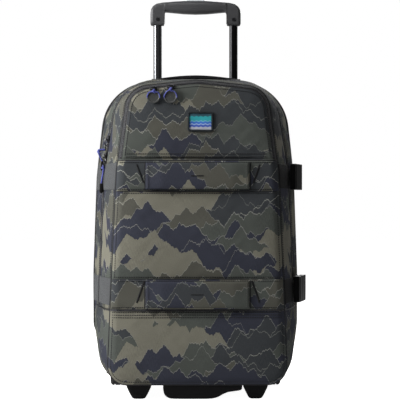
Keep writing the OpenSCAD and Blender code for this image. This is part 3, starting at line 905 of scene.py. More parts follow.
def back_depth(x, z):
    """Depth of the back: pads between its edge, two channels down and two channels across."""
    x, z = np.asarray(x, float), np.asarray(z, float)
    d = inset(x, z, REAR_REACH)
    full = np.clip(d / 16, 0, 1)
    pad = 5.2 * np.sqrt(np.maximum(1 - (1 - full) ** 2, 0))
    down = np.exp(-(((np.abs(x) - CHANNEL_X) / CHANNEL_HALF) ** 2))
    across = sum(np.exp(-(((z - level) / CHANNEL_HALF) ** 2)) for level in CHANNEL_LEVELS)
    groove = 4.2 * np.clip(down + across, 0, 1) * np.clip(d / 14, 0, 1)
    return REAR_SEAM_Y + 1 + np.clip(pad - groove + 0.35 * ripple(x, z) * full, 0, 5.6)


def on_back(x, z, lift=0.0):
    """A line of points laid on the back."""
    x, z = np.broadcast_arrays(np.asarray(x, float), np.asarray(z, float))
    return points(x, back_depth(x, z) + lift, z)


def back():
    """The back panel: dark cloth, padded between its edge and the channels, which are stitched."""
    rows, cols = 74, 360
    over = outline_path(REAR_Y, SPLIT_Z, True, 400)
    under = outline_path(REAR_Y, SPLIT_Z, False, 400)
    edge = np.vstack([over, under[-2::-1]])
    edge = resample(edge, cols + 1)[:-1]
    lines = [CENTRE + (edge - CENTRE) * share for share in np.linspace(1, 0.02, rows)]
    verts = [p for line in lines for p in on_back(*line.T)]
    middle = tuple((rows - 1) * cols + k for k in range(cols))
    faces = without_hidden(verts, grid_faces(rows, cols, wrap=True) + [middle])
    obj = make("back_cloth_panel", verts, faces, BACK_CLOTH, "bag", np.vstack(lines), ("back_panel",))
    thicken(face_towards(obj, BACKWARD), 3.0, LINING)
    beside = (-5.5, 5.5)
    down = np.linspace(SPLIT_Z - 60, TOP_Z - 26, 200)
    stitched = [on_back(side * (CHANNEL_X + off), down, 0.1) for side in (-1, 1) for off in beside]
    across = np.linspace(-CHANNEL_X + 9, CHANNEL_X - 9, 160)
    stitched += [on_back(across, level + off, 0.1) for level in CHANNEL_LEVELS for off in beside]
    dashes(stitched, "back_stitches", "bag")


def boards():
    """The boards in the back and the floor, cut to the case's shape and notched for the wheel housings."""
    low, high = span("back_board")
    depth = (low[1] + high[1]) / 2
    smaller = 7
    notch_x, notch_z = HOUSE_LOW[0] - 1, HOUSE_HIGH[2] + 1
    over = [tuple(p) for p in outline_path(depth, SPLIT_Z, True, 160, grow=-smaller)]
    right = [(float(side_x(depth, z)) - smaller, z) for z in np.linspace(SPLIT_Z - 4, notch_z, 12)]
    left = [(-x, z) for x, z in right[::-1]]
    foot = [(notch_x, notch_z), (notch_x, low[2]), (-notch_x, low[2]), (-notch_x, notch_z)]
    board = Parts().prism(over + right + foot + left, low[1], high[1], bevel=0.4)
    board.object("stiff_back_board", LINING, "bag", ("back_board",), "lining")

    low, high = span("base_board")
    notch_y = HOUSE_LOW[1] - 1
    right = [(min(float(side_x(y, low[2])) - 4, high[0]), float(y))
             for y in np.linspace(low[1] + 3, notch_y, 16)]
    corner = [(notch_x, notch_y), (notch_x, high[1] - 2), (-notch_x, high[1] - 2), (-notch_x, notch_y)]
    left = [(-x, y) for x, y in right[::-1]]
    board = Parts().prism(right + corner + left, low[2], high[2], axis="z", bevel=0.4)
    board.object("case_floor_board", BOARD, "bag", ("base_board",), "board")


# ---- strips, bands and handles ----
def side_strip(name, side, z, half, y0, y1, body, node, lift, thickness=1.4):
    """A strip on one side wall, between two depths: a grey band on the left, webbing on the right."""
    material, slot = (GREY, "grey_fabric") if side < 0 else (WEB, "webbing")
    zs = np.linspace(z - half, z + half, 9)
    sheet = LID_SHEET if body == "lid" else BAG_SHEET
    ys = np.linspace(y0, y1, 26)
    verts = [p for y in ys for p in points(side * side_x(y, zs, wall_rise(y, *sheet) + lift), y, zs)]
    uvs = [(p[1], p[2]) for p in verts]
    obj = make(name, verts, grid_faces(len(ys), len(zs)), material, body, uvs, (node,))
    thicken(face_towards(obj, (side, 0, 0)), thickness)
    modify(obj, "BEVEL", width=0.4 * MM, segments=2, limit_method="ANGLE", angle_limit=0.8)


def side_strips():
    """The side bands on the left, and the buckled straps on the right, which stop short of the buckles."""
    for word, z in (("upper", UPPER_WEB_Z), ("lower", LOWER_WEB_Z)):
        front, rear = EDGE_Y + 1.5, REAR_SEAM_Y - 3
        side_strip(word + "_side_band_front", -1, z, 21, front, ZIP_Y - 5, "lid", "lid_bands", 1.2)
        side_strip(word + "_side_band_rear", -1, z, 21, ZIP_Y + 5, rear, "bag", "bag_bands", 1.2)
        side_strip(word + "_strap_front", 1, z, WEB_HALF, front, ZIP_Y - 16, "lid", "front_straps", 1.7, 1.7)
        side_strip(word + "_strap_rear", 1, z, WEB_HALF, ZIP_Y + 24, rear, "bag", "rear_straps", 1.7, 1.7)


def front_band(word, low, high, cut_from):
    """A sewn band across the front, lying on the padded face."""
    k = gathered(120, 1.6)
    rows = []
    for z in np.linspace(low, high, 12):
        lift = 1.0 + 0.6 * min((z - low) / 4, (high - z) / 4, 1)
        x = k * (side_x(EDGE_Y, z) - 0.6)
        rows.append(on_front(level(x, z), lift))
    thicken(front_sheet(word + "_front_band", rows, PRINT, "lid", (word + "_band",), cut_from=cut_from), 1.2)


def oval(half_a, half_b, power, n):
    """Points of a rounded section: a superellipse."""
    turn = np.linspace(0, 2 * math.pi, n, endpoint=False)
    return np.stack([half * np.sign(way) * np.abs(way) ** (2 / power)
                     for half, way in ((half_a, np.cos(turn)), (half_b, np.sin(turn)))], axis=1)


def half_handle(name, stations, section, material, node, uv):
    """One half of a padded handle: sections at stations along X."""
    n = 32
    verts = []
    for x in stations:
        (y, z), half_a, half_b, power = section(x)
        verts += [(x, y + a, z + b) for a, b in oval(half_a, half_b, power, n)]
    faces = capped_faces(len(stations), n)
    obj = make(name, verts, faces, material, None, [uv(v) for v in verts], (node,))
    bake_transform(finish_solid(obj, 60))


def eased(share):
    """0 to 1 with a soft start and end."""
    share = min(max(share, 0), 1)
    return share * share * (3 - 2 * share)


def haul_handle(word, low, high, cut_from):
    """A padded grab handle across the front, sewn down at its folded ends, with a tack in its middle."""
    z = (low + high) / 2
    node = word + "_haul_handle"
    body = word + "_haul"

    def section(x):
        rise = 0.55 * eased((HAUL_HALF - abs(x)) / 2.5) + 0.45 * eased((HAUL_HALF - abs(x)) / 30)
        y = (FRONT_Y - 3.0) * (1 - rise) + (HAUL_BACK - 4.2) * rise
        return (y, z), 1.2 + 2.7 * rise, 20.6, 7.0 - 2.5 * rise

    for hand, side in (("left", -1), ("right", 1)):
        stations = side * (HAUL_HALF - HAUL_HALF * np.linspace(0, 1, 48) ** 1.8)
        half_handle(f"{word}_haul_{hand}", stations, section, PRINT,
                    node, lambda v: (v[0] + 22, v[2] + cut_from))
        hem = Parts()
        for inside in (1.6, 5.0):
            x = side * (HAUL_HALF - inside)
            face = section(x)[0][0] - section(x)[1] - 0.1
            for step in np.arange(low + 3, high - 4, 2.6):
                line = [(x, face, step), (x, face - 0.15, step + 0.9), (x, face, step + 1.8)]
                hem.sweep(line, [0.25, 0.42, 0.25], n=5)
        thread = PALE_THREAD if side > 0 else THREAD
        hem.object(f"{word}_haul_seam_{hand}", thread, "lid", slot="piping", sharp=180)
    face = HAUL_BACK - 8.1
    tack = Parts()
    for x in np.arange(-10, 10, 0.8):
        line = [(x, face + 0.1, z - 0.8), (x, face - 0.35, z), (x, face + 0.1, z + 0.8)]
        tack.sweep(line, [0.3, 0.5, 0.3], n=5)
    tack.object(word + "_haul_tack", THREAD, body, slot="piping", sharp=180)


def top_handle():
    """The grab handle on the top: a low padded arch between two sewn pads."""
    y = (TOP_LOW[1] + TOP_HIGH[1]) / 2
    half = span("top_handle_anchors")[1][0] - 6

    def section(x):
        ease = math.sin(min(max((half - abs(x)) / half, 0), 1) * math.pi / 2)
        return (y, TOP_Z + 3.6 + 2.8 * ease), 13 - 2.0 * ease, 1.1 + 3.1 * ease, 2.8

    for hand, side in (("left", -1), ("right", 1)):
        stations = side * (half - half * np.linspace(0, 1, 36))
        half_handle("top_handle_" + hand, stations, section, WEB,
                    "top_grab_handle", lambda v: (v[0], v[1]))
        middle = side * (half + 1)
        pad = Parts().box((middle - 8, y - 14, TOP_Z + 1.4), (middle + 8, y + 14, TOP_Z + 3.6), 0.8)
        pad.object("top_handle_pad_" + hand, SOFT_BLACK, "bag", ("top_handle_anchors",), "webbing")


# ---- seams, zips and stitches ----
def around(y, z_cut, over_top, grow, step=3.0):
    """Points round the case at one depth, about one step apart."""
    rough = outline_path(y, z_cut, over_top, 200, grow)
    x, z = resample(rough, int(path_lengths(rough)[-1] / step)).T
    return points(x, y, z)


def bead(name, path, radius, body, stands=(), n=10, up=BACKWARD, sharp=35):
    """A covered cord sewn along a seam."""
    Parts().sweep(path, radius, n=n, up=up).object(name, PIPING, body, stands, "piping", sharp)


def piping():
    """The cords in the front, lower and rear seams."""
    bead("rear_cord", around(REAR_SEAM_Y, HOUSE_HIGH[2] + 1, True, 1.4), 2.3, "bag", ("rear_piping",))
    bead("front_cord", around(EDGE_Y, SPLIT_Z + GAP, True, 0.2), 1.3, "lid", ("front_piping",))
    bead("lower_cord", around(EDGE_Y, SPLIT_Z, False, 0.2), 1.3, "bag")
    under = around(REAR_SEAM_Y - 1, BASE_Z + 2, False, 0.0)
    bead("rear_low_cord", under[np.abs(under[:, 0]) < HOUSE_LOW[0]], 2.0, "bag", n=8)


def coil(name, path, radius, body, up=BACKWARD):
    """One side of a zip's coil: a cord that swells at every turn."""
    step, turn_length = 0.45, 1.4
    rough = np.array(path)
    fine = resample(rough, int(path_lengths(rough)[-1] / step))
    swell = radius * (1 + 0.28 * np.sin(np.arange(len(fine)) * 2 * math.pi * step / turn_length))
    Parts().sweep(fine, swell, n=7, up=up).object(name, COIL, body, slot="zip_metal", sharp=180)


def main_zip():
    """The zip over the top and down both sides, and the cross zip, which turns the corners to meet it."""
    for name, sign in (("lid", -1), ("bag", 1)):
        lines = [around(ZIP_Y + sign * away, SPLIT_Z + GAP, True, grow)
                 for away, grow in ((4.6, 1.15), (2.6, 0.9), (0.6, 0.5))]
        count = min(len(line) for line in lines)
        verts = np.vstack([resample(line, count) for line in lines])
        uvs = [(j * 1.0, i * 3.0) for i in range(len(lines)) for j in range(count)]
        tape = make(name + "_main_tape", verts, grid_faces(len(lines), count), TAPE, name, uvs,
                    (name + "_zip_tape",))
        thicken(face_out(tape), 0.6)
        coil(name + "_main_coil", around(ZIP_Y + sign, SPLIT_Z + GAP, True, 0.8), 0.85, name)
    cross = np.linspace(-1, 1, 80) * (side_x(EDGE_Y, SPLIT_Z) - 1)
    for name, sign in (("lid", 1), ("bag", -1)):
        z = SPLIT_Z + sign * 1.1 + 0.25
        coil(name + "_cross_coil", points(cross, front_y(cross, z, 0.5), z), 0.8, name, (0, 0, 1))
        padding = 1 if name == "bag" else 0
        for hand, side in (("left", -1), ("right", 1)):
            path = [(side * (side_x(y, z) + 0.8 + wall_rise(y, EDGE_Y, REAR_SEAM_Y) * padding), y, z)
                    for y in np.linspace(EDGE_Y, ZIP_Y, 30)]
            coil(f"{name}_cross_coil_{hand}", path, 0.8, name, (0, 0, 1))


def pocket_zip():
    """The zip round the pocket's arched edge."""
    for name, body, inside in (("rim", "lid", FLAP_IN - 1.5), ("flap", "flap", FLAP_IN + 0.1)):
        coil("pocket_coil_" + name, on_front(inner_edge(POCKET_Z + 2, inside, 200), -0.3), 0.8, body)


def dashes(paths, name, body):
    """Rows of raised stitches along paths on the cloth."""
    length, pitch, radius = 2.7, 3.6, 0.68
    parts = Parts()
    for path in paths:
        path = np.array(path, float)
        for i in range(int(path_lengths(path)[-1] / pitch)):
            line = along_path(path, i * pitch + np.linspace(0, length, 4))
            parts.sweep(line, [radius * 0.5, radius, radius, radius * 0.5], n=5)
    parts.object(name, THREAD, body, slot="piping", sharp=180)


def level_row(z, inside=3.0, lift=0.15):
    """A level line across the front, ending a little inside its edges."""
    half = side_x(EDGE_Y, z) - inside
    return on_front(level(np.linspace(-half, half, 160), z), lift)


def wall_row(y, sheet):
    """A line over the top and down both sides, on a gusset between two depths."""
    return around(y, SPLIT_Z + 3, True, float(wall_rise(y, *sheet)) + 0.35)


def stitches():
    """The rows of stitches along the seams, bands and zips."""
    on_band = 1.75
    rows = [level_row(z) for z in (UPPER_BAND[0] - 3.5, LOWER_BAND[1] + 3.5)]
    rows += [level_row(z, lift=on_band)
             for z in (UPPER_BAND[0] + 2.2, UPPER_BAND[1] - 2.2, LOWER_BAND[0] + 3.2, LOWER_BAND[1] - 2.2)]
    edge = outline_path(EDGE_Y, SPLIT_Z, True, 300, grow=-4.5)
    below = edge[(edge[:, 1] < UPPER_BAND[0] - 2) & (edge[:, 1] > LOWER_BAND[1] + 2)]
    rows += [on_front(below[below[:, 0] < 0]), on_front(below[below[:, 0] > 0])]
    rows.append(on_front(inner_edge(POCKET_Z + 1, 4.2, 300)))
    dashes(rows, "lid_stitches", "lid")
    rows = [on_front(inner_edge(POCKET_Z + 5, FLAP_IN + 4.5, 300))]
    rows += [level_row(POCKET_Z + 2.8, 12), level_row(POCKET_Z + 7.4, 12)]
    dashes(rows, "flap_stitches", "flap")
    rows = [level_row(SPLIT_Z - below_zip) for below_zip in (3.5, 7.5, 11.5)]
    rows.append(on_front(outline_path(EDGE_Y, SPLIT_Z - 14, False, 300, grow=-4.5)))
    dashes(rows, "lower_stitches", "bag")
    dashes([wall_row(EDGE_Y + 6, LID_SHEET), wall_row(ZIP_Y - 7, LID_SHEET)], "lid_wall_stitches", "lid")
    dashes([wall_row(ZIP_Y + 7, BAG_SHEET), wall_row(REAR_SEAM_Y - 6, BAG_SHEET)], "bag_wall_stitches", "bag")


def seam_shade_cords():
    """Painted shade: dark cords along the edges of the front bands, thicker under the handles, beside the
    handles' ends, and under the pocket.
    """
    for name, low, high in (("upper", *UPPER_BAND), ("lower", *LOWER_BAND)):
        parts = Parts()
        # painted shade: dark cords along each band's lower and upper edge, thicker under the handle
        for z, deep in ((low - 0.4, 1.25), (high + 0.4, 0.7)):
            line = level_row(z, 0.8, lift=0.3)
            parts.sweep(line, np.where(np.abs(line[:, 0]) < HAUL_HALF, deep, 0.6), n=7)
        # painted shade: a dark cord beside each end of the handle
        for side in (-1, 1):
            edge = [(side * (HAUL_HALF + 1.4), z) for z in np.linspace(low + 1.5, high - 1.5, 12)]
            parts.sweep(on_front(edge, 1.75), 0.75, n=7)
        parts.object(name + "_band_shade_cords", PIPING, "lid", slot="piping", sharp=180)
    # painted shade: a dark cord under the pocket's seam
    bead("pocket_shade_cord", level_row(POCKET_Z - 2.2, 1.0, lift=0.1), 0.65, "lid", n=7, up=(0, 0, 1), sharp=180)


def corner_tacks():
    """Slanting bars of dense thread beside the ends of the grab handles."""
    width, pitch, lift = 1.5, 0.85, 1.8
    upper_low, upper_high = UPPER_BAND[0] + 12, UPPER_BAND[1] - 6
    lower_low, lower_high = LOWER_BAND[0] + 10, LOWER_BAND[1] - 2
    tack = Parts()
    for start, end in (((-95, upper_high), (-84, upper_low)), ((97, upper_high), (87, upper_low)),
                       ((-83, lower_high), (-95, lower_low)), ((85, lower_high), (97, lower_low))):
        start, end = np.array(start, float), np.array(end, float)
        length = np.linalg.norm(end - start)
        along = (end - start) / length
        across = np.array([-along[1], along[0]]) * width
        for i in range(int(length / pitch)):
            middle = start + along * i * pitch
            tack.sweep(on_front([middle - across, middle, middle + across], lift), [0.4, 0.55, 0.4], n=5)
    tack.object("corner_tacks", THREAD, "lid", slot="piping", sharp=180)


def label():
    """The woven label: a dark border round plain stripes."""
    (x0, _, z0), (x1, _, z1) = span("label_patch")
    x = np.linspace(x0, x1, 16)
    rows = [on_front(level(x, z), 1.5) for z in np.linspace(z0, z1, 12)]
    field = front_sheet("label_field", rows, label_stripes(z0 + 2, z1 - 2), "flap", ("label_patch",))
    thicken(field, 1.3)
    corners = np.array([(x0, z0), (x1, z0), (x1, z1), (x0, z1)])
    sides = zip(corners, np.roll(corners, -1, axis=0))
    rim = [a + (b - a) * k for a, b in sides for k in np.linspace(0.04, 0.96, 10)]
    border = Parts().sweep(on_front(rim, 1.5), 1.6, n=8, closed=True, up=BACKWARD)
    border.object("label_border", DARK_TRIM, "flap", slot="patch")


# ---- zip sliders and pulls ----
def slider_shape(parts):
    """A zip slider lying along local Z, its face towards local -Y."""
    left = [(-2.6, 5.5), (-4.2, 2.0), (-3.6, -2.5), (-2.4, -6.0)]
    outline = left + [(-a, b) for a, b in left[::-1]]
    parts.prism(outline, -1.5, 0.3, bevel=0.5)
    parts.prism([(a * 0.9, b * 0.95) for a, b in outline], -3.2, -2.0, bevel=0.45)
    parts.box((-1.4, -2.2, -4.5), (1.4, -1.2, 4.5), 0.3)
    bail = [(0, -3.0, 4.2), (0, -4.6, 3.2), (0, -5.0, 0.5), (0, -4.7, -2.6), (0, -3.0, -3.8)]
    return parts.sweep(resample(bail, 14), 0.65, up=(1, 0, 0))


def smooth_line(corners, count):
    """A rounded line through points, by a Catmull-Rom curve."""
    p = np.array(corners, float)
    p = np.vstack([2 * p[0] - p[1], p, 2 * p[-1] - p[-2]])
    found = []
    for a, b, c, d in zip(p, p[1:], p[2:], p[3:]):
        for t in np.linspace(0, 1, 12, endpoint=False):
            found.append(0.5 * (2 * b + (c - a) * t + (2 * a - 5 * b + 4 * c - d) * t * t
                                + (3 * b - a - 3 * c + d) * t ** 3))
    found.append(p[-2])
    return resample(found, count)


def knot(parts, centre, size):
    """A cord knot: crossing turns round a cord."""
    x, y, z = centre
    turn = np.linspace(0, 2 * math.pi, 20, endpoint=False)
    for tilt, shift in ((0.7, 0.9), (-0.7, -0.9)):
        across = 2.0 * np.cos(turn)
        ring = points(x + across, y + 1.3 * np.sin(turn), z + shift + tilt * across)
        parts.sweep(ring, size * 0.82, closed=True)


def pocket_pull(word):
    """A slider of the pocket zip, with its round tab hanging on a cord."""
    node, body = "pocket_pull_" + word, "pocket_pull_" + word[0]
    low, high = span(node)
    x, y, z = (low + high) / 2
    zip_line = inner_edge(POCKET_Z + 60, FLAP_IN, 200)
    slide_z = float(np.interp(x, zip_line[:, 0], zip_line[:, 1])) - 1
    surface = float(front_y(x, slide_z))
    slide = Parts()
    slide.place = Matrix.Translation((x, surface + 0.3, slide_z)) @ Matrix.Rotation(math.pi / 2, 4, "Y")
    slider_shape(slide).object(f"pocket_slider_body_{word}", DARK_METAL, "pocket_slider_" + word[0],
                               ("pocket_slider_" + word,), "zip_metal")
    r, rim, half, rim_half = 10.4, 1.9, 0.7, 1.3
    disc_y, disc_z = y + 0.9, z - 2.2
    upper = [(0.2, half), (r - rim - 0.7, half), (r - rim, rim_half), (r - 0.5, rim_half), (r, 0.8)]
    disc = Parts().lathe(upper + [(a, -b) for a, b in upper[::-1]], (x, disc_y, disc_z), axis="y", n=56)
    disc.object(f"pull_disc_{word}", TAB, body, (node,), "zip_metal", sharp=40)
    front = disc_y - 2.0
    cord = Parts()
    for side in (-1, 1):
        strand = [(x, surface - 3.6, slide_z - 1.0), (x + side * 1.8, front - 0.3, slide_z - 5.0),
                  (x + side * (r - 3.4), front, disc_z + 6.5),
                  (x + side * (r - 0.8), front + 0.5, disc_z + 1.5),
                  (x + side * (r - 0.9), front + 2.0, disc_z - 2.5)]
        cord.sweep(smooth_line(strand, 44), 0.95, n=9, up=BACKWARD)
    knot(cord, (x, front - 0.3, slide_z - 4.8), 1.3)
    cord.object(f"pull_cord_{word}", CORD, body, slot="cord", sharp=180)


def main_pull(word, out, tilt, lean):
    """A slider of the main zip, with two ring links, a doubled cord that stands out, and a grip."""
    low, high = span("main_pull_" + word)
    body = "main_pull_" + word[0]
    y = (low[1] + high[1]) / 2
    slide_z = sum(levels("main_slider_" + word)) / 2
    surface = -float(side_x(ZIP_Y, slide_z)) - 0.9
    slide = Parts()
    turned = Matrix.Rotation(math.radians(tilt), 4, "Y") @ Matrix.Rotation(-math.pi / 2, 4, "Z")
    slide.place = Matrix.Translation((surface, ZIP_Y - 5, slide_z)) @ turned
    slider_shape(slide).object(f"main_slider_body_{word}", DARK_METAL, "main_slider_" + word[0],
                               ("main_slider_" + word,), "zip_metal")
    top, bottom = high[2], low[2]
    turn = np.linspace(0, 2 * math.pi, 28, endpoint=False)
    links = Parts()
    for i, (swing_x, swing_y) in enumerate(((2.4, 0), (0, 3.2))):
        z = top - 1 - i * 8.5
        wall = -float(side_x(y, z)) - 5.6
        swing = np.sin(turn)
        ring = points(wall + swing_x * swing, y - 1 + swing_y * swing - lean * i, z + 5.2 * np.cos(turn))
        links.sweep(ring, 0.85, closed=True, up=(0.3, 1, 0.2))
    links.object(f"pull_links_{word}", DARK_METAL, body, ("main_pull_" + word,), "zip_metal")
    x = -float(side_x(y, bottom + 10)) - 6.2
    bend = [(wall, y - 1 - lean, top - 13), (wall - out, y - 1 - lean, top - 14),
            (wall - out * 0.9, y - lean, top - 22), (x, y, bottom + 16)]
    cord = Parts()
    cord.sweep(smooth_line(bend, 40), 1.3, n=9, up=BACKWARD)
    cord.sweep(smooth_line([(a + 0.4, b + 2.2, c - 1) for a, b, c in bend], 40), 1.2, n=9, up=BACKWARD)
    knot(cord, (wall - out * 0.95, y - lean, top - 17), 1.4)
    cord.object(f"main_cord_{word}", CORD, body, slot="cord", sharp=180)
    outline = [(x - 2.6, bottom + 16), (x - 2.9, bottom + 3), (x - 1.8, bottom), (x + 2.4, bottom),
               (x + 3.3, bottom + 3), (x + 3.0, bottom + 16)]
    end = Parts().prism(outline, y - 2.2, y + 3.2, bevel=1.1)
    end.object(f"main_pull_end_{word}", BLACK, body, slot="zip_metal")


# ---- telescopic handle ----
GRIP_TOP = span("grip_button")[1][2] - 0.9
SOCKET_LOW = SOCKETS_LOW[2]
SOCKET_OUT = SOCKETS_HIGH[0]
SOCKET_IN = SOCKET_OUT - 24
SOCKET_HALF_Y = (SOCKETS_HIGH[1] - SOCKETS_LOW[1]) / 2


def grip_station(x):
    """Top, bottom, half-depth and squareness of the grip at a distance from its middle."""
    d = abs(x)
    drops = np.array([0, 0, -1.2, -3.2, -5.2, -9.5, -14.5, -21])
    top = np.interp(d, [0, 15, 35, 56, 66, 72, 75, SOCKET_OUT], drops + GRIP_TOP)
    bar_low = np.interp(d, [0, 20, 45, 52.0], [GRIP_Z - 9.5, GRIP_Z - 8.8, GRIP_Z - 6.4, GRIP_Z - 5.6])
    low = np.interp(d, [SOCKET_IN - 1.6, SOCKET_IN - 0.7, SOCKET_IN + 0.2, SOCKET_IN + 0.9, SOCKET_IN + 2.2,
                        SOCKET_OUT - 2.5, SOCKET_OUT - 0.8, SOCKET_OUT],
                    [bar_low, GRIP_Z - 6.4, GRIP_Z - 9, SOCKET_LOW + 1.5, SOCKET_LOW,
                     SOCKET_LOW, SOCKET_LOW + 0.8, SOCKET_LOW + 3])
    full = SOCKET_HALF_Y
    half_y = np.interp(d, [0, 30, 50, SOCKET_IN + 2, SOCKET_OUT - 4, SOCKET_OUT - 1, SOCKET_OUT],
                       [11.2, 10.6, 9.4, full, full, full - 1.2, full - 2.6])
    power = np.interp(d, [0, 46, SOCKET_IN + 2, SOCKET_OUT], [2.5, 2.6, 5.0, 5.0])
    return top, low, half_y, power


def grip():
    """The grip and its two sockets in one moulding, with a parting line down each socket."""
    marks = np.concatenate([np.linspace(0, 48, 22), np.linspace(49, SOCKET_IN + 3, 16),
                            np.linspace(SOCKET_IN + 4, 72, 10), np.linspace(72.6, SOCKET_OUT, 9)])
    stations = np.concatenate([-marks[::-1], marks[1:]])
    n = 40
    verts = []
    for x in stations:
        top, low, half_y, power = grip_station(x)
        verts += [(x, TUBE_Y + a, (top + low) / 2 + b) for a, b in oval(half_y, (top - low) / 2, power, n)]
    body = Parts().add(verts, capped_faces(len(stations), n))
    body.object("grip_body", SOFT_BLACK, "inner_stage", ("grip_sockets", "grip_bar"), "grip_plastic", 50)
    seam = Parts()
    for side in (-1, 1):
        seam_z = np.linspace(SOCKET_LOW + 2, GRIP_TOP - 9, 12)
        seam.sweep(points(side * SOCKET_IN, TUBE_Y - SOCKET_HALF_Y - 0.15, seam_z), 0.35, n=6)
    seam.object("grip_parting_lines", BLACK, "inner_stage", slot="grip_plastic")


# ---- feet, base handle and wheels ----
def front_feet():
    """Two moulded feet: narrow and rounded at the ground, wide at the case, bored for a screw."""
    low, high = span("front_feet")
    middle_y, half_y = (low[1] + high[1]) / 2, (high[1] - low[1]) / 2
    top_half = 20.5
    foot_x = high[0] - top_half
    bore, bore_top = 3.6, 10.0
    heights = [0, 0.5, 1.5, 3.5, 6.5, 10, 14, 18, 21, BASE_Z]
    rounded = [0, 0.5, 1.5, 4]
    halves = np.interp(heights, rounded + [12, 19, BASE_Z], [7.5, 9.0, 10.4, 12.2, 16.4, 19.6, top_half])
    depths = np.interp(heights, rounded, [half_y - 2.4, half_y - 1.3, half_y - 0.5, half_y])
    rings = [(bore_top, bore, bore, 2.0), (0.4, bore, bore, 2.0), (0, bore + 0.5, bore + 0.5, 2.0)]
    rings += [(z, a, b, 5.0) for z, a, b in zip(heights, halves, depths)]
    n = 56
    for word, side in (("left", -1), ("right", 1)):
        verts = [(side * foot_x + p, middle_y + q, z)
                 for z, a, b, power in rings for p, q in oval(a, b, power, n)]
        foot = Parts().add(verts, capped_faces(len(rings), n))
        stands = ("front_feet",) if word == "left" else ()
        foot.object("front_foot_" + word, BLACK, "bag", stands, "black_plastic", sharp=50)


def base_grip():
    """The moulded grab handle under the case: rounded underneath, sloping up on the right, hollow behind."""
    low, high = span("base_handle")
    left, right = low[0], high[0]
    low_line = [(left, BASE_Z), (left + 0.4, 15), (left + 2.5, 7.5), (left + 8, 2.6), (left + 18, 0.7),
                (0, 0.4), (20, 0.7), (31, 2.8), (41, 8.0), (49, 11.0), (60, 12.6), (right - 1.5, 15),
                (right, BASE_Z)]
    curve = [(float(a), max(float(b), low[2] + 0.2)) for a, b in smooth_line(low_line, 90)]
    hollow = ((-40, 7), (30, BASE_Z - 4), low[1] + 4)
    handle = Parts().prism(curve, low[1], high[1], bevel=2.0, segments=3, hollow=hollow)
    handle.object("base_grab_handle", BLACK, "bag", ("base_handle",), "black_plastic")


def wheel(word, side):
    """A tyre with two grooves in its tread, on a spoked hub."""
    centre = (side * WHEEL_X, WHEEL_Y, WHEEL_R)
    half, r = WHEEL_HALF, WHEEL_R
    rim = span("hub_" + word)[1][2] - r
    tread = [(r - 3.4, -half), (r - 1.2, -half + 1.2), (r, -half + 3.4)]
    for groove in (-half * 0.42, half * 0.42):
        tread += [(r, groove - 1.3), (r - 1.6, groove - 0.7), (r - 1.6, groove + 0.7), (r, groove + 1.3)]
    tread += [(r, half - 3.4), (r - 1.2, half - 1.2), (r - 3.4, half), (rim + 0.1, half), (rim + 0.1, -half)]
    tyre = Parts().lathe(tread, centre, n=96)
    tyre.object("tyre_tread_" + word, RUBBER, "wheel_" + word[0], ("tyre_" + word,), "tyre", sharp=28)
    bore = 11.0
    hub = Parts()
    ring = [(rim, -half + 1), (rim - 1, -half), (rim - 4, -half), (rim - 4.6, -half + 1)]
    sleeve = [(bore + 4, -half + 1), (bore, -half + 1)]
    web = [(rim - 4, -1.3), (bore + 3, -1.3)]
    for profile, n in ((ring, 96), (sleeve, 64), (web, 64)):
        hub.lathe(profile + [(a, -b) for a, b in profile[::-1]], centre, n=n)
    spokes = 6
    for i in range(spokes):
        hub.place = Matrix.Translation(centre) @ Matrix.Rotation(i * 2 * math.pi / spokes, 4, "X")
        hub.box((-half + 2.5, -1.8, bore + 2), (half - 2.5, 1.8, rim - 3.5), 0.7)
    hub.object("hub_spokes_" + word, HUB, "wheel_" + word[0], ("hub_" + word,), "hub_plastic", sharp=30)


# ---- CAD nodes that show as they are ----
def finish_node(node, material, bevel):
    """Gives a CAD node its material, and softens its edges."""
    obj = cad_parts[node]
    obj.data.materials.clear()
    obj.data.materials.append(material)
    if bevel:
        modify(obj, "WELD", merge_threshold=0.00001)
        modify(obj, "BEVEL", width=bevel * MM, segments=3, limit_method="ANGLE", angle_limit=math.radians(40),
               use_clamp_overlap=True, harden_normals=False)


def cad_nodes():
    """The moulded and metal parts that keep their CAD shapes."""
    for material, bevel, nodes in (
            (BLACK, 1.5, ("wheel_housing_left", "wheel_housing_right")),
            (BLACK, 1.3, ("buckle_sockets",)),
            (BLACK, 1.0, ("upper_buckle_plug", "lower_buckle_plug", "handle_bezel")),
            (BLACK, 0.8, ("tube_base",)),
            (BLACK, 0.3, ("tube_plugs", "push_bar")),
            (BUTTON, 0.9, ("grip_button",)),
            (STEEL, 0.4, ("axles",)),
            (STEEL, 0.3, ("body_screws", "lock_pin_left", "lock_pin_right")),
            (STEEL, 0.3, ("bearings_left", "bearings_right")),
            (STEEL, 0, ("button_springs",)),
            (DARK_METAL, 0.3, ("grip_screws",)),
            (SILVER, 0, ("fixed_tubes",)),
            (DARK_TUBE, 0, ("middle_tubes", "inner_tubes")),
            (LINING, 0, ("pocket_lining",))):
        for node in nodes:
            finish_node(node, material, bevel)


# ---- studio, in metres ----
def backdrop():
    """A pale floor and a white surround, both plain white to the camera."""
    material, tree, shader = new_material("studio_floor", roughness=0.9)
    shader.inputs["Base Color"].default_value = rgb(0.75, 0.75, 0.75)
    shader.inputs["Emission Color"].default_value = rgb(1, 1, 1)
    seen = paint(tree, "LightPath").outputs["Is Camera Ray"]
    tree.links.new(sums(tree, "MULTIPLY_ADD", seen, 0.96, 0.02), shader.inputs["Emission Strength"])
    half = 9000
    corners = [(-half, -half, 0), (half, -half, 0), (half, half, 0), (-half, half, 0)]
    make("studio_floor", corners, [(0, 1, 2, 3)], material)
    world = bpy.data.worlds.new("studio")
    bpy.context.scene.world = world
    world.use_nodes = True
    tree = world.node_tree
    seen = paint(tree, "LightPath").outputs["Is Camera Ray"]
    strength = map_range(tree, seen, 0.0, 1.0, 0.08, 1.0)
    tree.links.new(strength, tree.nodes["Background"].inputs["Strength"])
    tree.nodes["Background"].inputs["Color"].default_value = rgb(1, 1, 1)


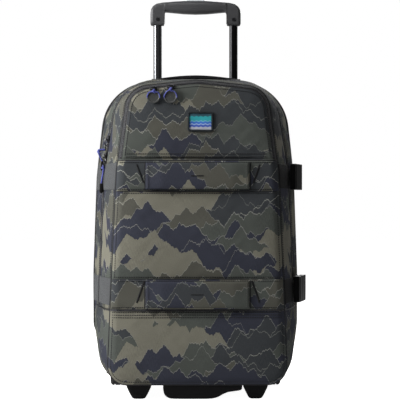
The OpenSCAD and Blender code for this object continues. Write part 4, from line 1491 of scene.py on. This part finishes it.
def stand(name, data, position, direction):
    """Puts a light or a camera in the scene, looking in a direction."""
    obj = bpy.data.objects.new(name, data)
    obj.location = position
    obj.rotation_euler = Vector(direction).to_track_quat("-Z", "Y").to_euler()
    bpy.context.collection.objects.link(obj)
    return obj


def lights():
    """Soft square lights: where each stands, what it points at, its side and its power."""
    for name, position, aim, wide, power in (
            ("key", (-0.86, -0.32, 0.74), (0, 0.05, 0.3), 0.45, 22),
            ("top", (-0.3, -0.5, 1.7), (0, 0, 0.3), 0.5, 7),
            ("fill", (0.0, -1.7, 2.3), (0, 0, 0.28), 1.0, 3),
            ("back", (0.5, 2.0, 1.3), (0, 0.2, 0.28), 0.9, 26),
            ("right", (1.7, 1.0, 1.1), (0.1, 0.1, 0.28), 0.8, 4)):
        light = bpy.data.lights.new(name, "AREA")
        light.size = wide
        light.energy = power
        stand(name, light, position, Vector(aim) - Vector(position))


def camera():
    """A long lens in front of the bag, turned very slightly to the right."""
    lens = bpy.data.cameras.new("camera")
    lens.lens = 132.7
    lens.sensor_width = 36
    lens.clip_end = 50
    bpy.context.scene.camera = stand("camera", lens, (-0.040, -2.330, 0.3130), (0.0439, 2.3, 0))
    bpy.context.scene.view_settings.view_transform = "Standard"


# ---- build ----
front_cloth()
gusset("lid_gusset", *LID_SHEET, True, SPLIT_Z + GAP, "lid", "lid_shell")
gusset("bag_gusset", *BAG_SHEET, True, SPLIT_Z, "bag", "rear_shell")
gusset("lower_gusset", EDGE_Y, REAR_SEAM_Y, False, SPLIT_Z, "bag", "lower_shell")
back()
boards()
side_strips()
front_band("upper", *UPPER_BAND, 200)
front_band("lower", *LOWER_BAND, 440)
haul_handle("upper", *UPPER_HAUL, 290)
haul_handle("lower", *LOWER_HAUL, 500)
top_handle()
piping()
main_zip()
pocket_zip()
stitches()
seam_shade_cords()
corner_tacks()
label()
pocket_pull("left")
pocket_pull("right")
main_pull("upper", 11.0, 4.5, 2.5)
main_pull("lower", 1.0, 0, 0)
grip()
front_feet()
base_grip()
wheel("left", -1)
wheel("right", 1)
cad_nodes()
backdrop()
lights()
camera()
